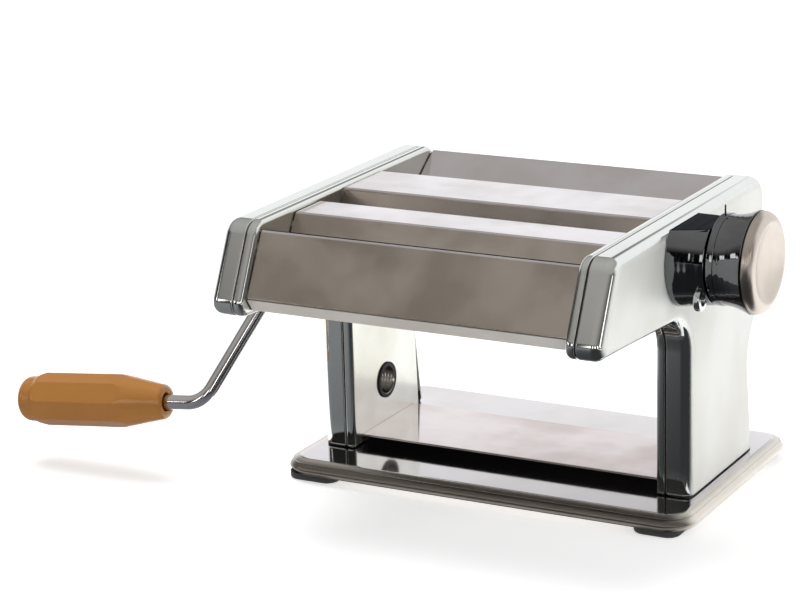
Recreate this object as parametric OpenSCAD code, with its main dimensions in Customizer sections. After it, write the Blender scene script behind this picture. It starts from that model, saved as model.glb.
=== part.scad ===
/* [Base] */
// Margin of the base outside each side
base_side = 9; // [5:0.5:20]
// Depth of the base plate from front to back
base_d = 132; // [124:1:160]
// Height of the base skirt
base_h = 7; // [6:0.5:12]
// Corner radius of the base seen from above
base_corner = 14; // [8:1:24]
// Radius of the rounded top edge of the base
base_edge = 3; // [2:0.5:4]
// Sheet thickness of the pressed parts
sheet = 1.2; // [0.8:0.1:1.6]
// Height of a rubber foot below the skirt
foot_h = 3; // [2:0.5:6]
// Length of a rubber foot across the machine
foot_l = 26; // [16:1:34]
// Width of a rubber foot from front to back
foot_w = 20; // [12:1:28]

/* [Sides] */
// Gap between the end of a roller and its side frame
roller_end_gap = 1.5; // [1.4:0.1:3]
// Depth of a side frame from its inner face to the seam
frame_depth = 4.7; // [4:0.1:6]
// Overall thickness of one side, frame and cover together
side_t = 17; // [16.5:0.5:20]
// Gap of the dark seam between frame and cover
seam_gap = 0.3; // [0.2:0.1:0.5]
// Radius of the rounded outer edge of a cover
edge_r = 5.5; // [4:0.5:5.5]
// Thickness of a side frame's wall
frame_wall = 1.5; // [1.2:0.1:1.8]
// Height of the sides' top above the panels' top edges
side_rise = 2.7; // [2:0.1:5]
// Reach of the arm's top ahead of the nip of the narrow cutters
arm_top_reach = 17.5; // [16:0.5:21]
// Reach of the arm's bottom ahead of that nip
arm_low_reach = 37; // [35:0.5:41]
// Drop of the arm's underside below the smooth rollers' axes, at its front end
arm_front_drop = 11.8; // [11.5:0.1:15]
// Drop of the arm's underside below those axes, at the leg
arm_rear_drop = 17.3; // [17:0.1:21]
// Front edge of the leg
leg_front_y = -39.3; // [-44:0.1:-36]
// Rear edge of the leg at the base
leg_rear_y = 40.5; // [38:0.5:46]
// Rear edge of the leg at its waist
waist_y = 31.5; // [28:0.5:36]
// Drop of the waist below the smooth rollers' axes
waist_drop = 50.5; // [46:0.5:56]
// Set-back of a frame's rear edge inside its cover, at the base
frame_leg_step = 13; // [4:0.5:14]
// Set-back of a frame's rear edge inside its cover, at the waist
frame_waist_step = 7; // [2:0.5:10]
// Reach of the rear bulge behind the nip of the wide cutters
shoulder_reach = 34; // [33:0.5:38]
// Drop of that bulge below the smooth rollers' axes
shoulder_drop = 27.5; // [22:0.5:30]
// Reach of the rear end of the side's top behind that nip
rear_top_reach = 32; // [32:0.5:36]

/* [Panels] */
// Thickness of the steel panels
panel_t = 1; // [0.8:0.1:1.4]
// Height of the panels and guides from their lower edges to their tops
guide_h = 8.1; // [7:0.1:9]
// Height of the rear guide above the front one
rear_guide_rise = 1.3; // [0:0.1:1.6]
// Clear height between the highest rollers and the guides' lower edges
guide_clear = 2.2; // [1.8:0.1:3]
// Top edge of the front panel ahead of the nip of the narrow cutters
front_panel_reach = 14.5; // [13:0.5:17]
// Front edge of the front guide's flat top behind that nip
front_guide_start = 14.5; // [13:0.5:17]
// Rear edge of the front guide's flat top ahead of the nip of the smooth rollers
front_guide_stop = 12.1; // [11:0.1:14]
// Front edge of the rear guide's flat top behind that nip
rear_guide_start = 8.8; // [7:0.1:10]
// Rear edge of the rear guide's flat top ahead of the nip of the wide cutters
rear_guide_stop = 28.2; // [26:0.1:32]
// Top edge of the rear panel behind that nip
rear_panel_reach = 27.6; // [24:0.1:28]
// Height of the raised floor above the base
floor_rise = 5.4; // [4:0.1:9]
// Set-back of the raised floor behind the front of the legs
floor_front_step = 8.2; // [4:0.1:14]
// Set-back of the raised floor ahead of the rear of the legs
floor_rear_step = 19.5; // [14:0.5:26]

/* [Rollers] */
// Working length of the rollers
roller_l = 150; // [130:1:190]
// Radius of the smooth rollers
smooth_r = 11.5; // [10.5:0.1:11.7]
// Smallest gap between the smooth rollers
gap_min = 0.4; // [0.3:0.1:0.6]
// Widest gap between the smooth rollers
gap_max = 3.2; // [2:0.1:3.2]
// Place of the nip of the smooth rollers at the smallest gap
smooth_y = -51.6; // [-53:0.1:-50]
// Height of the smooth rollers' axes above the table
smooth_z = 111.5; // [100:0.5:126]
// Clear gap between the narrow cutters and the smooth rollers
narrow_gap = 0.4; // [0.4:0.1:4]
// Height of the narrow cutters' axes above those of the smooth rollers
narrow_rise = 2.5; // [2:0.1:3]
// Clear gap between the smooth rollers and the wide cutters
wide_gap = 23.4; // [20:0.1:28]
// Height of the wide cutters' axes above those of the smooth rollers
wide_rise = 1.5; // [0.5:0.1:2.5]
// Outer radius of the cutter rings
ring_r = 12; // [11.6:0.1:12]
// Distance between the axes of a cutter pair
cutter_span = 22; // [21.8:0.1:22.4]
// Width of one ring of the narrow cutters
narrow_ring = 1.6; // [1.2:0.1:3]
// Width of one ring of the wide cutters
wide_ring = 6.6; // [4:0.1:9]
// Side clearance between the rings of a cutter pair
ring_gap = 0.4; // [0.3:0.05:0.6]
// Radius of the roller journals
journal_r = 4; // [3.5:0.1:4.2]
// Radial running clearance of shafts in their bores
run_gap = 0.05; // [0.02:0.01:0.1]
// Clearance between moving pieces that only pass each other
pass_gap = 0.4; // [0.3:0.05:0.6]

/* [Crank] */
// Radius of the crank rod
rod_r = 3.5; // [3:0.1:4]
// Distance from the cover to the first corner of the rod
rod_exit = 7; // [7:0.5:14]
// Length of the crank arm between its two corners
arm_l = 90.3; // [70:0.1:100]
// Outward lean of the arm from the radial direction
arm_lean = 20.4; // [5:0.1:30]
// Swing of the crank forward from straight down
arm_swing = 30.7; // [0:0.1:60]
// Slope of the handle away from the machine
grip_droop = 6; // [0:0.5:10]
// Bend radius of the rod's centre line
bend_r = 7; // [6:0.5:8]
// Largest radius of the handle
grip_r = 12.6; // [11:0.1:14]
// Radius of the handle at its inner end
grip_neck_r = 8.6; // [7:0.1:10]
// Length of the handle with its end cap
grip_l = 80; // [78:1:100]

/* [Regulator] */
// Regulator axis behind the nip of the smooth rollers
reg_step = 3.6; // [3:0.1:4.6]
// Height of the regulator axis above the smooth rollers' axes
reg_rise = 13.1; // [12.6:0.1:13.5]
// Radius of the boss at the cover
boss_r = 22.4; // [20:0.1:24]
// Radius of the boss at the knob
boss_end_r = 20; // [18:0.1:22]
// Length of the boss
boss_l = 16.7; // [14:0.1:24]
// Gap between boss and knob
knob_gap = 1; // [1:0.1:3]
// Radius of the knob's waist
knob_waist_r = 19.6; // [17:0.1:21]
// Radius of the knob's rim
knob_rim_r = 22.4; // [21:0.1:26]
// Length of the knob without its cap
knob_l = 16.5; // [16.5:0.5:22]
// Thickness of the knob's cap at its rim
cap_t = 5; // [4:0.5:7]
// Pull of the knob that frees its turn stop
knob_pull = 5; // [4:0.5:5.5]
// Turn of the regulator from the widest to the smallest gap
reg_turn = 270; // [180:10:270]

/* [Clamp hole] */
// Place of the clamp hole from front to back
clamp_y = -6.5; // [-12:0.5:0]
// Height of the clamp hole
clamp_z = 34.8; // [32:0.1:42]
// Radius of the hole through the grommet
clamp_r = 6.6; // [5:0.1:7]

/* [Hidden] */
$fn = 64;

chrome = [0.86, 0.87, 0.88];
steel = [0.66, 0.62, 0.58];
dark = [0.12, 0.12, 0.13];
rubber = [0.06, 0.06, 0.06];
champagne = [0.82, 0.74, 0.66];
ochre = [0.76, 0.57, 0.27];
bronze = [0.72, 0.55, 0.32];

// Small overlap that keeps cuts clean
eps = 0.05;

// Heights of the base and the floor, and the floor's front and rear edges
base_top = foot_h + base_h;
floor_z = base_top + floor_rise;
floor_front_y = leg_front_y + floor_front_step;
floor_rear_y = leg_rear_y - floor_rear_step;

// Planes across the machine
inner_x = roller_l / 2 + roller_end_gap;
seam_x = inner_x + frame_depth;
outer_x = inner_x + side_t;
cover_x = seam_x + seam_gap;
wall_x = inner_x + frame_wall;
cover_in_x = outer_x - sheet;
base_w = 2 * (outer_x + base_side);

// Rollers
half_l = roller_l / 2;
travel = gap_max - gap_min;
smooth_span = 2 * smooth_r + gap_min;
smooth_drive_y = smooth_y + smooth_span / 2;
smooth_mate_y = smooth_y - smooth_span / 2 - travel;
narrow_mate_y = smooth_mate_y - smooth_r - narrow_gap - ring_r;
narrow_drive_y = narrow_mate_y - cutter_span;
narrow_y = (narrow_drive_y + narrow_mate_y) / 2;
narrow_z = smooth_z + narrow_rise;
wide_mate_y = smooth_drive_y + smooth_r + wide_gap + ring_r;
wide_drive_y = wide_mate_y + cutter_span;
wide_y = (wide_mate_y + wide_drive_y) / 2;
wide_z = smooth_z + wide_rise;
core_r = cutter_span - ring_r - pass_gap;
journal_tail = 1.8;
short_end_x = wall_x + journal_tail;
fixed_rollers = [
    [narrow_drive_y, narrow_z], [narrow_mate_y, narrow_z], [smooth_drive_y, smooth_z],
    [wide_drive_y, wide_z], [wide_mate_y, wide_z]
];

// Heights and places that follow the rollers
guide_low_z = narrow_z + ring_r + guide_clear;
panel_top_z = guide_low_z + guide_h;
rear_guide_z = panel_top_z + rear_guide_rise;
top_z = panel_top_z + side_rise;
reg_y = smooth_y + reg_step;
reg_z = smooth_z + reg_rise;

// Outline of a side as corners and corner radii, running down the front first
leg_tuck = 12;
side_corners = [
    [narrow_y - arm_top_reach, top_z], [narrow_y - arm_low_reach, smooth_z - arm_front_drop],
    [leg_front_y, smooth_z - arm_rear_drop], [leg_front_y, base_top - leg_tuck],
    [leg_rear_y, base_top - leg_tuck], [waist_y, smooth_z - waist_drop],
    [wide_y + shoulder_reach, smooth_z - shoulder_drop], [wide_y + rear_top_reach, top_z]
];
leg_corner = 4;
waist_corner = 5;
frame_corners = [
    for (i = [0 : len(side_corners) - 1])
        side_corners[i] - [i == leg_corner ? frame_leg_step : i == waist_corner ? frame_waist_step : 0, 0]
];
front_top_r = 9;
front_low_r = 6;
armpit_r = 18;
waist_r = 25;
shoulder_r = 25;
rear_top_r = 10;
side_radii = [front_top_r, front_low_r, armpit_r, 0, 0, waist_r, shoulder_r, rear_top_r];
arc_steps = 10;
edge_steps = 6;
least_r = 0.3;

// Gears inside the covers and crank sockets in the left one
gear_step = 4.8;
gear_x = wall_x + gear_step;
gear_w = 4.8;
gear_end_x = gear_x + gear_w;
socket_r = 6.5;
socket_step = 3;
socket_x = wall_x + socket_step;
socket_out = 1.5;
socket_mouth_x = outer_x + socket_out;
socket_wall_x = gear_x;
ring_flange_r = 10.5;
ring_fit_r = 8.5;
ring_flange_t = 1.2;
drive_slot_w = 2.4;
drive_slot_l = 4.5;
smooth_teeth = 10;
cutter_teeth = 12;
smooth_tooth = 2.5;
smooth_tip_r = smooth_span / 2 + smooth_tooth;
smooth_root_r = smooth_span - smooth_tip_r - pass_gap;
cutter_tooth = 1.7;
cutter_tip_r = cutter_span / 2 + cutter_tooth;
cutter_root_r = cutter_span - cutter_tip_r - pass_gap;
tooth_root_share = 0.5;
tooth_tip_share = 0.16;

// Bushes in the frames
bush_r = 6.5;
bush_flange_r = 8;
bush_flange_t = 1;
bush_tail = 1.6;

// Carriage of the adjustable smooth roller
plate_step = 2.2;
plate_x = wall_x + plate_step;
yoke_t = 4.8;
left_plate_t = 2.3;
plate_front = 8;
plate_drop = 8;
plate_low_z = smooth_z - plate_drop;
plate_top_drop = 5;
plate_top_z = top_z - plate_top_drop;
plate_left_rear = 11;
bar_r = 2.5;
bar_ahead = 4.5;
bar_y = smooth_mate_y - bar_ahead;
bar_rise = 18;
bar_z = smooth_z + bar_rise;
cam_min_r = 5.5;
cam_side_gap = 0.3;
cam_x = plate_x + cam_side_gap;
cam_t = yoke_t - 2 * cam_side_gap;
cam_gap = 0.12;
cam_over = 10;
cam_step = 5;
cam_rate = travel / reg_turn;
cam_face_y = reg_y + cam_min_r + cam_gap;
yoke_post_t = 4;
yoke_rear_y = cam_face_y + yoke_post_t;
window_room = 1;
window_half_z = cam_min_r + travel + window_room;
window_front_y = reg_y - window_half_z - travel;
rail_t = 2;
rail_w = 8;
rail_x = wall_x + rail_w;
rail_ahead = 9;
rail_front_y = smooth_mate_y - rail_ahead;
lug_rise = 17.1;
lug_low_z = smooth_z + lug_rise;
spring_r = 2;
spring_l = 10;
spring_rise = 19.8;
spring_z = smooth_z + spring_rise;
spring_x = plate_x + yoke_t / 2;
spring_end_gap = 0.05;
post_t = 3;
post_y = yoke_rear_y + spring_l;
rail_rear_y = post_y + post_t;

// Regulator shaft and knob along X
reg_r = 6;
spigot_r = 4;
shoulder_x = plate_x + yoke_t + pass_gap;
boss_x = outer_x + boss_l;
knob_x = boss_x + knob_gap;
knob_end_x = knob_x + knob_l;
flat_rise = 0.3;
flat_z = top_z + flat_rise;
square_w = 8;
square_gap = 0.3;
hub_t = 3.7;
spring_cave_r = 8.4;
washer_t = 1.5;
pressed_spring_l = 4.3;
washer_x = knob_x + hub_t + knob_pull + pressed_spring_l;
washer_r = 7.6;
knob_spring_out_r = 7.5;
knob_spring_in_r = 6;
stop_r = 10.5;
stop_pin_r = 1.2;
stop_groove = 2;
stop_depth = 3;
stop_start = 135;
stop_margin = 12;
knob_lip_l = 3;
flare_steps = 12;
cap_dish = 3;
cap_dish_r = 13.2;
cap_round_steps = 8;
index_r = 0.7;
index_out = 4.6;
index_in = 4;
index_x = knob_x + 1.2;
boss_screw_r = 5;
boss_screw_hole_r = 2;
boss_screw_l = 6;
boss_screw_turn = 233;
boss_screw_out = knob_gap - pass_gap;

// Crank path in its own plane, outward along x and away from the roller axis along y
arm_dir = 90 - arm_lean;
first_cut = bend_r * tan(arm_dir / 2);
second_turn = arm_dir - grip_droop;
second_cut = bend_r * tan(second_turn / 2);
grip_corner = [rod_exit + arm_l * cos(arm_dir), arm_l * sin(arm_dir)];
bend_thin = 0.05;
bend_lap = 3;
rod_end_gap = 1;
rod_inside = outer_x - socket_wall_x - rod_end_gap;
grip_start = 19.2;
grip_taper_l = 24.3;
grip_flats = 8;
grip_cap_l = 10;
grip_cap_r = 10.7;
grip_groove_l = 2.4;
grip_groove_d = 1;
grip_wall_end = 8;
grip_end_z = grip_start + grip_l;
collar_r = 5.6;
collar_t = 3;
collar_back = 6;
collar_z = grip_end_z - grip_cap_l - collar_back;
collar_room = 0.5;
drive_pin_r = 1;
drive_pin_l = 9;

// Tie rods
tie_r = 2.2;
tie_front = [-12.5, 13.5];
tie_middle = [0.45, -7.5];
tie_rear = [24.5, -10.5];
tie_spots = [
    [smooth_mate_y, smooth_z] + tie_front,
    [(smooth_drive_y + wide_mate_y) / 2, smooth_z] + tie_middle,
    [wide_y, smooth_z] + tie_rear
];

// Combs and scrapers
comb_t = 1;
comb_l = 4.5;
comb_turn = 35;

// Front panel, guides and rear panel in the Y and Z plane
bend_from_nip = [-29.8, -3.9];
lip_from_nip = [-21.5, -5.9];
panel_bend = [narrow_y, smooth_z] + bend_from_nip;
panel_lip = [narrow_y, smooth_z] + lip_from_nip;
front_panel_y = narrow_y - front_panel_reach;
front_guide_front_y = narrow_y + front_guide_start;
front_guide_rear_y = smooth_y - front_guide_stop;
rear_guide_front_y = smooth_y + rear_guide_start;
rear_guide_rear_y = wide_y - rear_guide_stop;
rear_panel_y = wide_y + rear_panel_reach;
funnel_run = 5.2;
guide_front_run = 5;
guide_rear_run = 3.3;
rear_guide_front_run = 3.2;
rear_guide_rear_run = 12.7;
rear_funnel_run = 11.6;
rear_wall_step = 2.9;
rear_wall_drop = 14.5;
panel_funnel = [front_panel_y + funnel_run, guide_low_z];
front_guide_low_front = front_guide_front_y - guide_front_run;
front_guide_low_rear = front_guide_rear_y + guide_rear_run;
rear_guide_low_front = rear_guide_front_y - rear_guide_front_run;
rear_guide_low_rear = rear_guide_rear_y + rear_guide_rear_run;
rear_funnel_y = rear_panel_y - rear_funnel_run;
rear_wall_y = rear_panel_y + rear_wall_step;
rear_wall_z = smooth_z - rear_wall_drop;

// Grommet
grommet_lip_r = 8.7;
grommet_wall = 1.2;
grommet_lip_t = 0.8;

// Feet
foot_inset = 2;
foot_plug_inset = 4;
foot_corner = 6;

function unit(v) = v / norm(v);
function left_normal(a, b) = unit([a.y - b.y, b.x - a.x]);
function wrap(i, n) = (i + n) % n;
function short_way(a) = a > 180 ? a - 360 : a < -180 ? a + 360 : a;

// Corners of a closed outline moved inward by t
function inset_corners(p, t) = [
    for (i = [0 : len(p) - 1])
        let (a = left_normal(p[wrap(i - 1, len(p))], p[i]), b = left_normal(p[i], p[wrap(i + 1, len(p))]))
        p[i] + t * (a + b) / (1 + a * b)
];

// Radii after the same move: outer corners shrink and inner corners grow
function inset_radii(p, r, t) = [
    for (i = [0 : len(p) - 1])
        let (u = p[i] - p[wrap(i - 1, len(p))], v = p[wrap(i + 1, len(p))] - p[i])
        r[i] == 0 ? 0 : cross(u, v) > 0 ? max(r[i] - t, least_r) : r[i] + t
];

// Points of one rounded corner
function corner_arc(a, b, c, r) = r == 0 ? [b] :
    let (
        u = unit(a - b),
        v = unit(c - b),
        half = acos(u * v) / 2,
        mid = b + unit(u + v) * r / sin(half),
        s = b + u * r / tan(half) - mid,
        e = b + v * r / tan(half) - mid,
        s_a = atan2(s.y, s.x),
        turn = short_way(atan2(e.y, e.x) - s_a)
    )
    [for (i = [0 : arc_steps]) mid + r * [cos(s_a + turn * i / arc_steps), sin(s_a + turn * i / arc_steps)]];

function rounded(p, r) = [
    for (i = [0 : len(p) - 1]) each corner_arc(p[wrap(i - 1, len(p))], p[i], p[wrap(i + 1, len(p))], r[i])
];

function side_outline(t) = rounded(inset_corners(side_corners, t), inset_radii(side_corners, side_radii, t));

function frame_outline(t) = rounded(inset_corners(frame_corners, t), inset_radii(frame_corners, side_radii, t));

// Open line moved to its left by t
function beside(p, t) = [
    for (i = [0 : len(p) - 1])
        let (
            a = left_normal(p[max(i - 1, 0)], p[max(i, 1)]),
            b = left_normal(p[min(i, len(p) - 2)], p[min(i + 1, len(p) - 1)])
        )
        p[i] + t * (a + b) / (1 + a * b)
];

function reversed(p) = [for (i = [len(p) - 1 : -1 : 0]) p[i]];

// Sheet of thickness t on the left of a line
module strip(p, t) {
    polygon(concat(p, reversed(beside(p, t))));
}

// Shape drawn in the Y and Z plane, drawn out from x0 to x1
module along_x(x0, x1) {
    translate([x0, 0, 0])
        rotate([90, 0, 90])
            linear_extrude(x1 - x0)
                children();
}

// Shape revolved about an axis along X through y and z
module about_x(y, z) {
    translate([0, y, z])
        rotate([0, 90, 0])
            children();
}

module round_x(x0, x1, y, z, r) {
    translate([x0, y, z])
        rotate([0, 90, 0])
            cylinder(r = r, h = x1 - x0);
}

// Slot along Y with round ends
module slot_x(x0, x1, y0, y1, z, r) {
    along_x(x0, x1)
        union() {
            translate([y0, z])
                circle(r);
            translate([y1, z])
                circle(r);
            translate([y0, z - r])
                square([y1 - y0, 2 * r]);
        }
}

module round_rect(w, d, r) {
    square([w - 2 * r, d], center = true);
    square([w, d - 2 * r], center = true);
    for (sx = [-1, 1], sy = [-1, 1])
        translate([sx * (w / 2 - r), sy * (d / 2 - r)])
            circle(r);
}

// Section of a pressed tray from a corner centre outward, with its top edge rounded
module tray_section(corner, h, edge) {
    square([corner, h - edge]);
    square([corner - edge, h]);
    translate([corner - edge, h - edge])
        circle(edge);
}

// Skirt of the base in section, hollow below
module skirt_section() {
    difference() {
        tray_section(base_corner, base_h, base_edge);
        translate([-eps, -eps])
            tray_section(base_corner - sheet + eps, base_h - sheet + eps, base_edge - sheet);
    }
}

module base_plate() {
    span_x = base_w - 2 * base_corner;
    span_y = base_d - 2 * base_corner;
    color(chrome)
        translate([0, 0, foot_h]) {
            translate([-span_x / 2, -span_y / 2, base_h - sheet])
                cube([span_x, span_y, sheet]);
            for (q = [[0, 1, 1], [1, -1, 1], [2, -1, -1], [3, 1, -1]])
                translate([q.y * span_x / 2, q.z * span_y / 2, 0])
                    rotate([0, 0, 90 * q.x])
                        rotate_extrude(angle = 90)
                            skirt_section();
            for (t = [0, 180]) {
                rotate([0, 0, t])
                    translate([span_x / 2, span_y / 2, 0])
                        rotate([90, 0, 0])
                            linear_extrude(span_y)
                                skirt_section();
                rotate([0, 0, t])
                    translate([-span_x / 2, span_y / 2, 0])
                        rotate([90, 0, 90])
                            linear_extrude(span_x)
                                skirt_section();
            }
        }
}

module foot(sx, sy) {
    color(rubber)
        translate([sx * (base_w / 2 - foot_inset - foot_l / 2), sy * (base_d / 2 - foot_inset - foot_w / 2), 0]) {
            linear_extrude(foot_h)
                round_rect(foot_l, foot_w, foot_corner);
            linear_extrude(base_top - sheet)
                square([foot_l - 2 * foot_plug_inset, foot_w - 2 * foot_plug_inset], center = true);
        }
}

module floor_pan() {
    color(chrome)
        along_x(-inner_x, inner_x)
            strip([[floor_front_y, base_top], [floor_front_y, floor_z], [floor_rear_y, floor_z],
                [floor_rear_y, base_top]], -sheet);
}

// Everything below the top of the base, to cut the legs level
module below_base() {
    translate([-base_w, -base_d, base_top - 2 * leg_tuck])
        cube([2 * base_w, 2 * base_d, 2 * leg_tuck]);
}

// Inner half of the right side, still without holes
module frame_shell() {
    difference() {
        along_x(inner_x, seam_x)
            polygon(frame_outline(0));
        along_x(wall_x, seam_x + eps)
            polygon(frame_outline(sheet));
        below_base();
    }
}

// Holes that both frames need
module frame_holes() {
    for (p = fixed_rollers)
        round_x(inner_x - eps, wall_x + eps, p.x, p.y, bush_r);
    slot_x(inner_x - eps, wall_x + eps, smooth_mate_y, smooth_mate_y + travel, smooth_z, journal_r + pass_gap);
    slot_x(inner_x - eps, wall_x + eps, bar_y, bar_y + travel, bar_z, bar_r + pass_gap);
    for (p = tie_spots)
        round_x(inner_x - eps, wall_x + eps, p.x, p.y, tie_r);
}

module left_frame() {
    color(chrome)
        mirror([1, 0, 0])
            difference() {
                frame_shell();
                frame_holes();
                round_x(inner_x - eps, wall_x + eps, clamp_y, clamp_z, clamp_r + grommet_wall);
            }
}

module right_frame() {
    color(chrome)
        difference() {
            frame_shell();
            frame_holes();
            round_x(inner_x - eps, wall_x + eps, reg_y, reg_z, spigot_r + run_gap);
        }
}

// Outer half of the right side with its rounded edge in fine steps, still without holes
module cover_shell() {
    edge_x = outer_x - edge_r;
    difference() {
        union() {
            along_x(cover_x, edge_x)
                polygon(side_outline(0));
            for (i = [0 : edge_steps - 1])
                along_x(edge_x - sheet, edge_x + edge_r * (i + 1) / edge_steps)
                    polygon(side_outline(edge_r * (1 - sqrt(1 - pow((i + 0.5) / edge_steps, 2)))));
        }
        along_x(cover_x - eps, edge_x)
            polygon(side_outline(sheet));
        along_x(edge_x - eps, cover_in_x)
            polygon(side_outline(edge_r));
        below_base();
    }
}

module left_cover() {
    color(chrome)
        mirror([1, 0, 0])
            difference() {
                cover_shell();
                for (p = [[narrow_drive_y, narrow_z], [smooth_drive_y, smooth_z], [wide_drive_y, wide_z]])
                    round_x(cover_in_x - eps, outer_x + eps, p.x, p.y, ring_fit_r);
                round_x(cover_in_x - eps, outer_x + eps, clamp_y, clamp_z, clamp_r + grommet_wall);
            }
}

module right_cover() {
    color(chrome)
        difference() {
            cover_shell();
            round_x(cover_in_x - eps, outer_x + eps, reg_y, reg_z, reg_r + pass_gap);
        }
}

module front_panel() {
    color(steel)
        along_x(-inner_x, inner_x)
            strip([panel_funnel, [front_panel_y, panel_top_z], panel_bend, panel_lip], panel_t);
}

module front_guide() {
    color(steel)
        along_x(-inner_x, inner_x)
            strip([[front_guide_low_front, guide_low_z], [front_guide_front_y, panel_top_z],
                [front_guide_rear_y, panel_top_z], [front_guide_low_rear, guide_low_z]], -panel_t);
}

module rear_guide() {
    color(steel)
        along_x(-inner_x, inner_x)
            strip([[rear_guide_low_front, guide_low_z], [rear_guide_front_y, rear_guide_z],
                [rear_guide_rear_y, rear_guide_z], [rear_guide_low_rear, guide_low_z]], -panel_t);
}

module rear_panel() {
    color(steel)
        along_x(-inner_x, inner_x)
            strip([[rear_funnel_y, guide_low_z], [rear_panel_y, panel_top_z],
                [rear_wall_y, panel_top_z], [rear_wall_y, rear_wall_z]], -panel_t);
}

module tie_rod(i) {
    color(steel)
        round_x(-cover_in_x, cover_in_x, tie_spots[i].x, tie_spots[i].y, tie_r);
}

// Flanged bushes of the right frame
module bushes() {
    color(bronze)
        for (p = fixed_rollers)
            difference() {
                union() {
                    round_x(inner_x - bush_flange_t, inner_x, p.x, p.y, bush_flange_r);
                    round_x(inner_x - bush_flange_t, wall_x + bush_tail, p.x, p.y, bush_r);
                }
                round_x(inner_x - bush_flange_t - eps, wall_x + bush_tail + eps, p.x, p.y, journal_r + run_gap);
            }
}

module left_bushes() {
    mirror([1, 0, 0])
        bushes();
}

module right_bushes() {
    bushes();
}

// Ring round a crank socket in the left cover
module socket_ring(y, z) {
    color(chrome)
        mirror([1, 0, 0])
            difference() {
                union() {
                    round_x(cover_in_x, outer_x, y, z, ring_fit_r);
                    round_x(outer_x, outer_x + ring_flange_t, y, z, ring_flange_r);
                }
                round_x(cover_in_x - eps, outer_x + ring_flange_t + eps, y, z, socket_r + run_gap);
            }
}

module clamp_grommet() {
    color(rubber)
        mirror([1, 0, 0])
            difference() {
                union() {
                    round_x(inner_x - grommet_lip_t, inner_x, clamp_y, clamp_z, grommet_lip_r);
                    round_x(inner_x - grommet_lip_t, outer_x + grommet_lip_t, clamp_y, clamp_z,
                        clamp_r + grommet_wall);
                    round_x(outer_x, outer_x + grommet_lip_t, clamp_y, clamp_z, grommet_lip_r);
                }
                round_x(inner_x - grommet_lip_t - eps, outer_x + grommet_lip_t + eps, clamp_y, clamp_z, clamp_r);
            }
}

// Blade that hangs just off the underside of a roller, on its outer side
module blade(y, z, r, side) {
    translate([y, z])
        rotate(-90 + side * comb_turn)
            translate([r + pass_gap, -comb_t / 2])
                square([comb_l, comb_t]);
}

module blade_pair(front, rear, r) {
    color(steel)
        along_x(-inner_x, inner_x) {
            blade(front.x, front.y, r, -1);
            blade(rear.x, rear.y, r, 1);
        }
}

module narrow_combs() {
    blade_pair([narrow_drive_y, narrow_z], [narrow_mate_y, narrow_z], ring_r);
}

module smooth_scrapers() {
    blade_pair([smooth_mate_y, smooth_z], [smooth_drive_y, smooth_z], smooth_r);
}

module wide_combs() {
    blade_pair([wide_mate_y, wide_z], [wide_drive_y, wide_z], ring_r);
}

// Half turn profile of a cutter: a core with evenly spaced rings, first ring at a shifted place
module ring_profile(ring, shift) {
    pitch = 2 * (ring + ring_gap);
    count = floor((roller_l - ring) / pitch - 0.5);
    start = -count * pitch / 2 - ring / 2 + shift;
    polygon(concat(
        [[0, -half_l], [core_r, -half_l]],
        [for (k = [0 : count - 1]) let (a = start + k * pitch) each [
            [core_r, a], [ring_r, a], [ring_r, a + ring], [core_r, a + ring]
        ]],
        [[core_r, half_l], [0, half_l]]
    ));
}

// Journals of a roller to its two ends and, on a driven one, its crank socket
module journals(y, z, left_end, right_end, driven) {
    round_x(half_l - eps, right_end, y, z, journal_r);
    round_x(-(driven ? socket_x : left_end), -half_l + eps, y, z, journal_r);
    if (driven)
        difference() {
            round_x(-socket_mouth_x, -socket_x, y, z, socket_r);
            round_x(-socket_mouth_x - eps, -socket_wall_x, y, z, rod_r + run_gap);
            translate([-socket_mouth_x - eps, y, z])
                rotate([-arm_swing, 0, 0])
                    translate([0, -drive_slot_w / 2, -socket_r - eps])
                        cube([drive_slot_l, drive_slot_w, 2 * socket_r + 2 * eps]);
        }
}

module cutter(y, z, ring, shift, left_end, right_end, driven) {
    color(steel) {
        about_x(y, z)
            rotate_extrude()
                ring_profile(ring, shift);
        journals(y, z, left_end, right_end, driven);
    }
}

module smooth_roller(y, right_end, driven) {
    color(steel) {
        round_x(-half_l, half_l, y, smooth_z, smooth_r);
        journals(y, smooth_z, gear_end_x, right_end, driven);
    }
}

// Spur gear that starts at x on a shaft of radius hole, its first tooth turned by phase
module gear(x, y, z, teeth, root, tip, phase, hole) {
    root_a = tooth_root_share * 180 / teeth;
    tip_a = tooth_tip_share * 180 / teeth;
    color(bronze)
        difference() {
            along_x(x, x + gear_w)
                translate([y, z])
                    rotate(phase)
                        polygon([
                            for (k = [0 : teeth - 1])
                                each [
                                    for (q = [[root, -root_a], [tip, -tip_a], [tip, tip_a], [root, root_a]])
                                        let (a = 360 * k / teeth + q.y)
                                        q.x * [cos(a), sin(a)]
                                ]
                        ]);
            round_x(x - eps, x + gear_w + eps, y, z, hole);
        }
}

// The driven gear of a pair points a tooth at its mate, the mate turns a gap to it
function mate_phase(teeth) = 180 / teeth;

// Outline of the carriage plates in the Y and Z plane
module plate_outline(rear_y) {
    translate([smooth_mate_y - plate_front, plate_low_z])
        square([rear_y - smooth_mate_y + plate_front, plate_top_z - plate_low_z]);
}

module right_yoke() {
    color(steel)
        difference() {
            along_x(plate_x, plate_x + yoke_t)
                plate_outline(yoke_rear_y);
            along_x(plate_x - eps, plate_x + yoke_t + eps)
                translate([window_front_y, reg_z - window_half_z])
                    square([cam_face_y - window_front_y, plate_top_z - reg_z + window_half_z + eps]);
            round_x(plate_x - eps, plate_x + yoke_t + eps, smooth_mate_y, smooth_z, journal_r + run_gap);
        }
}

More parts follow.
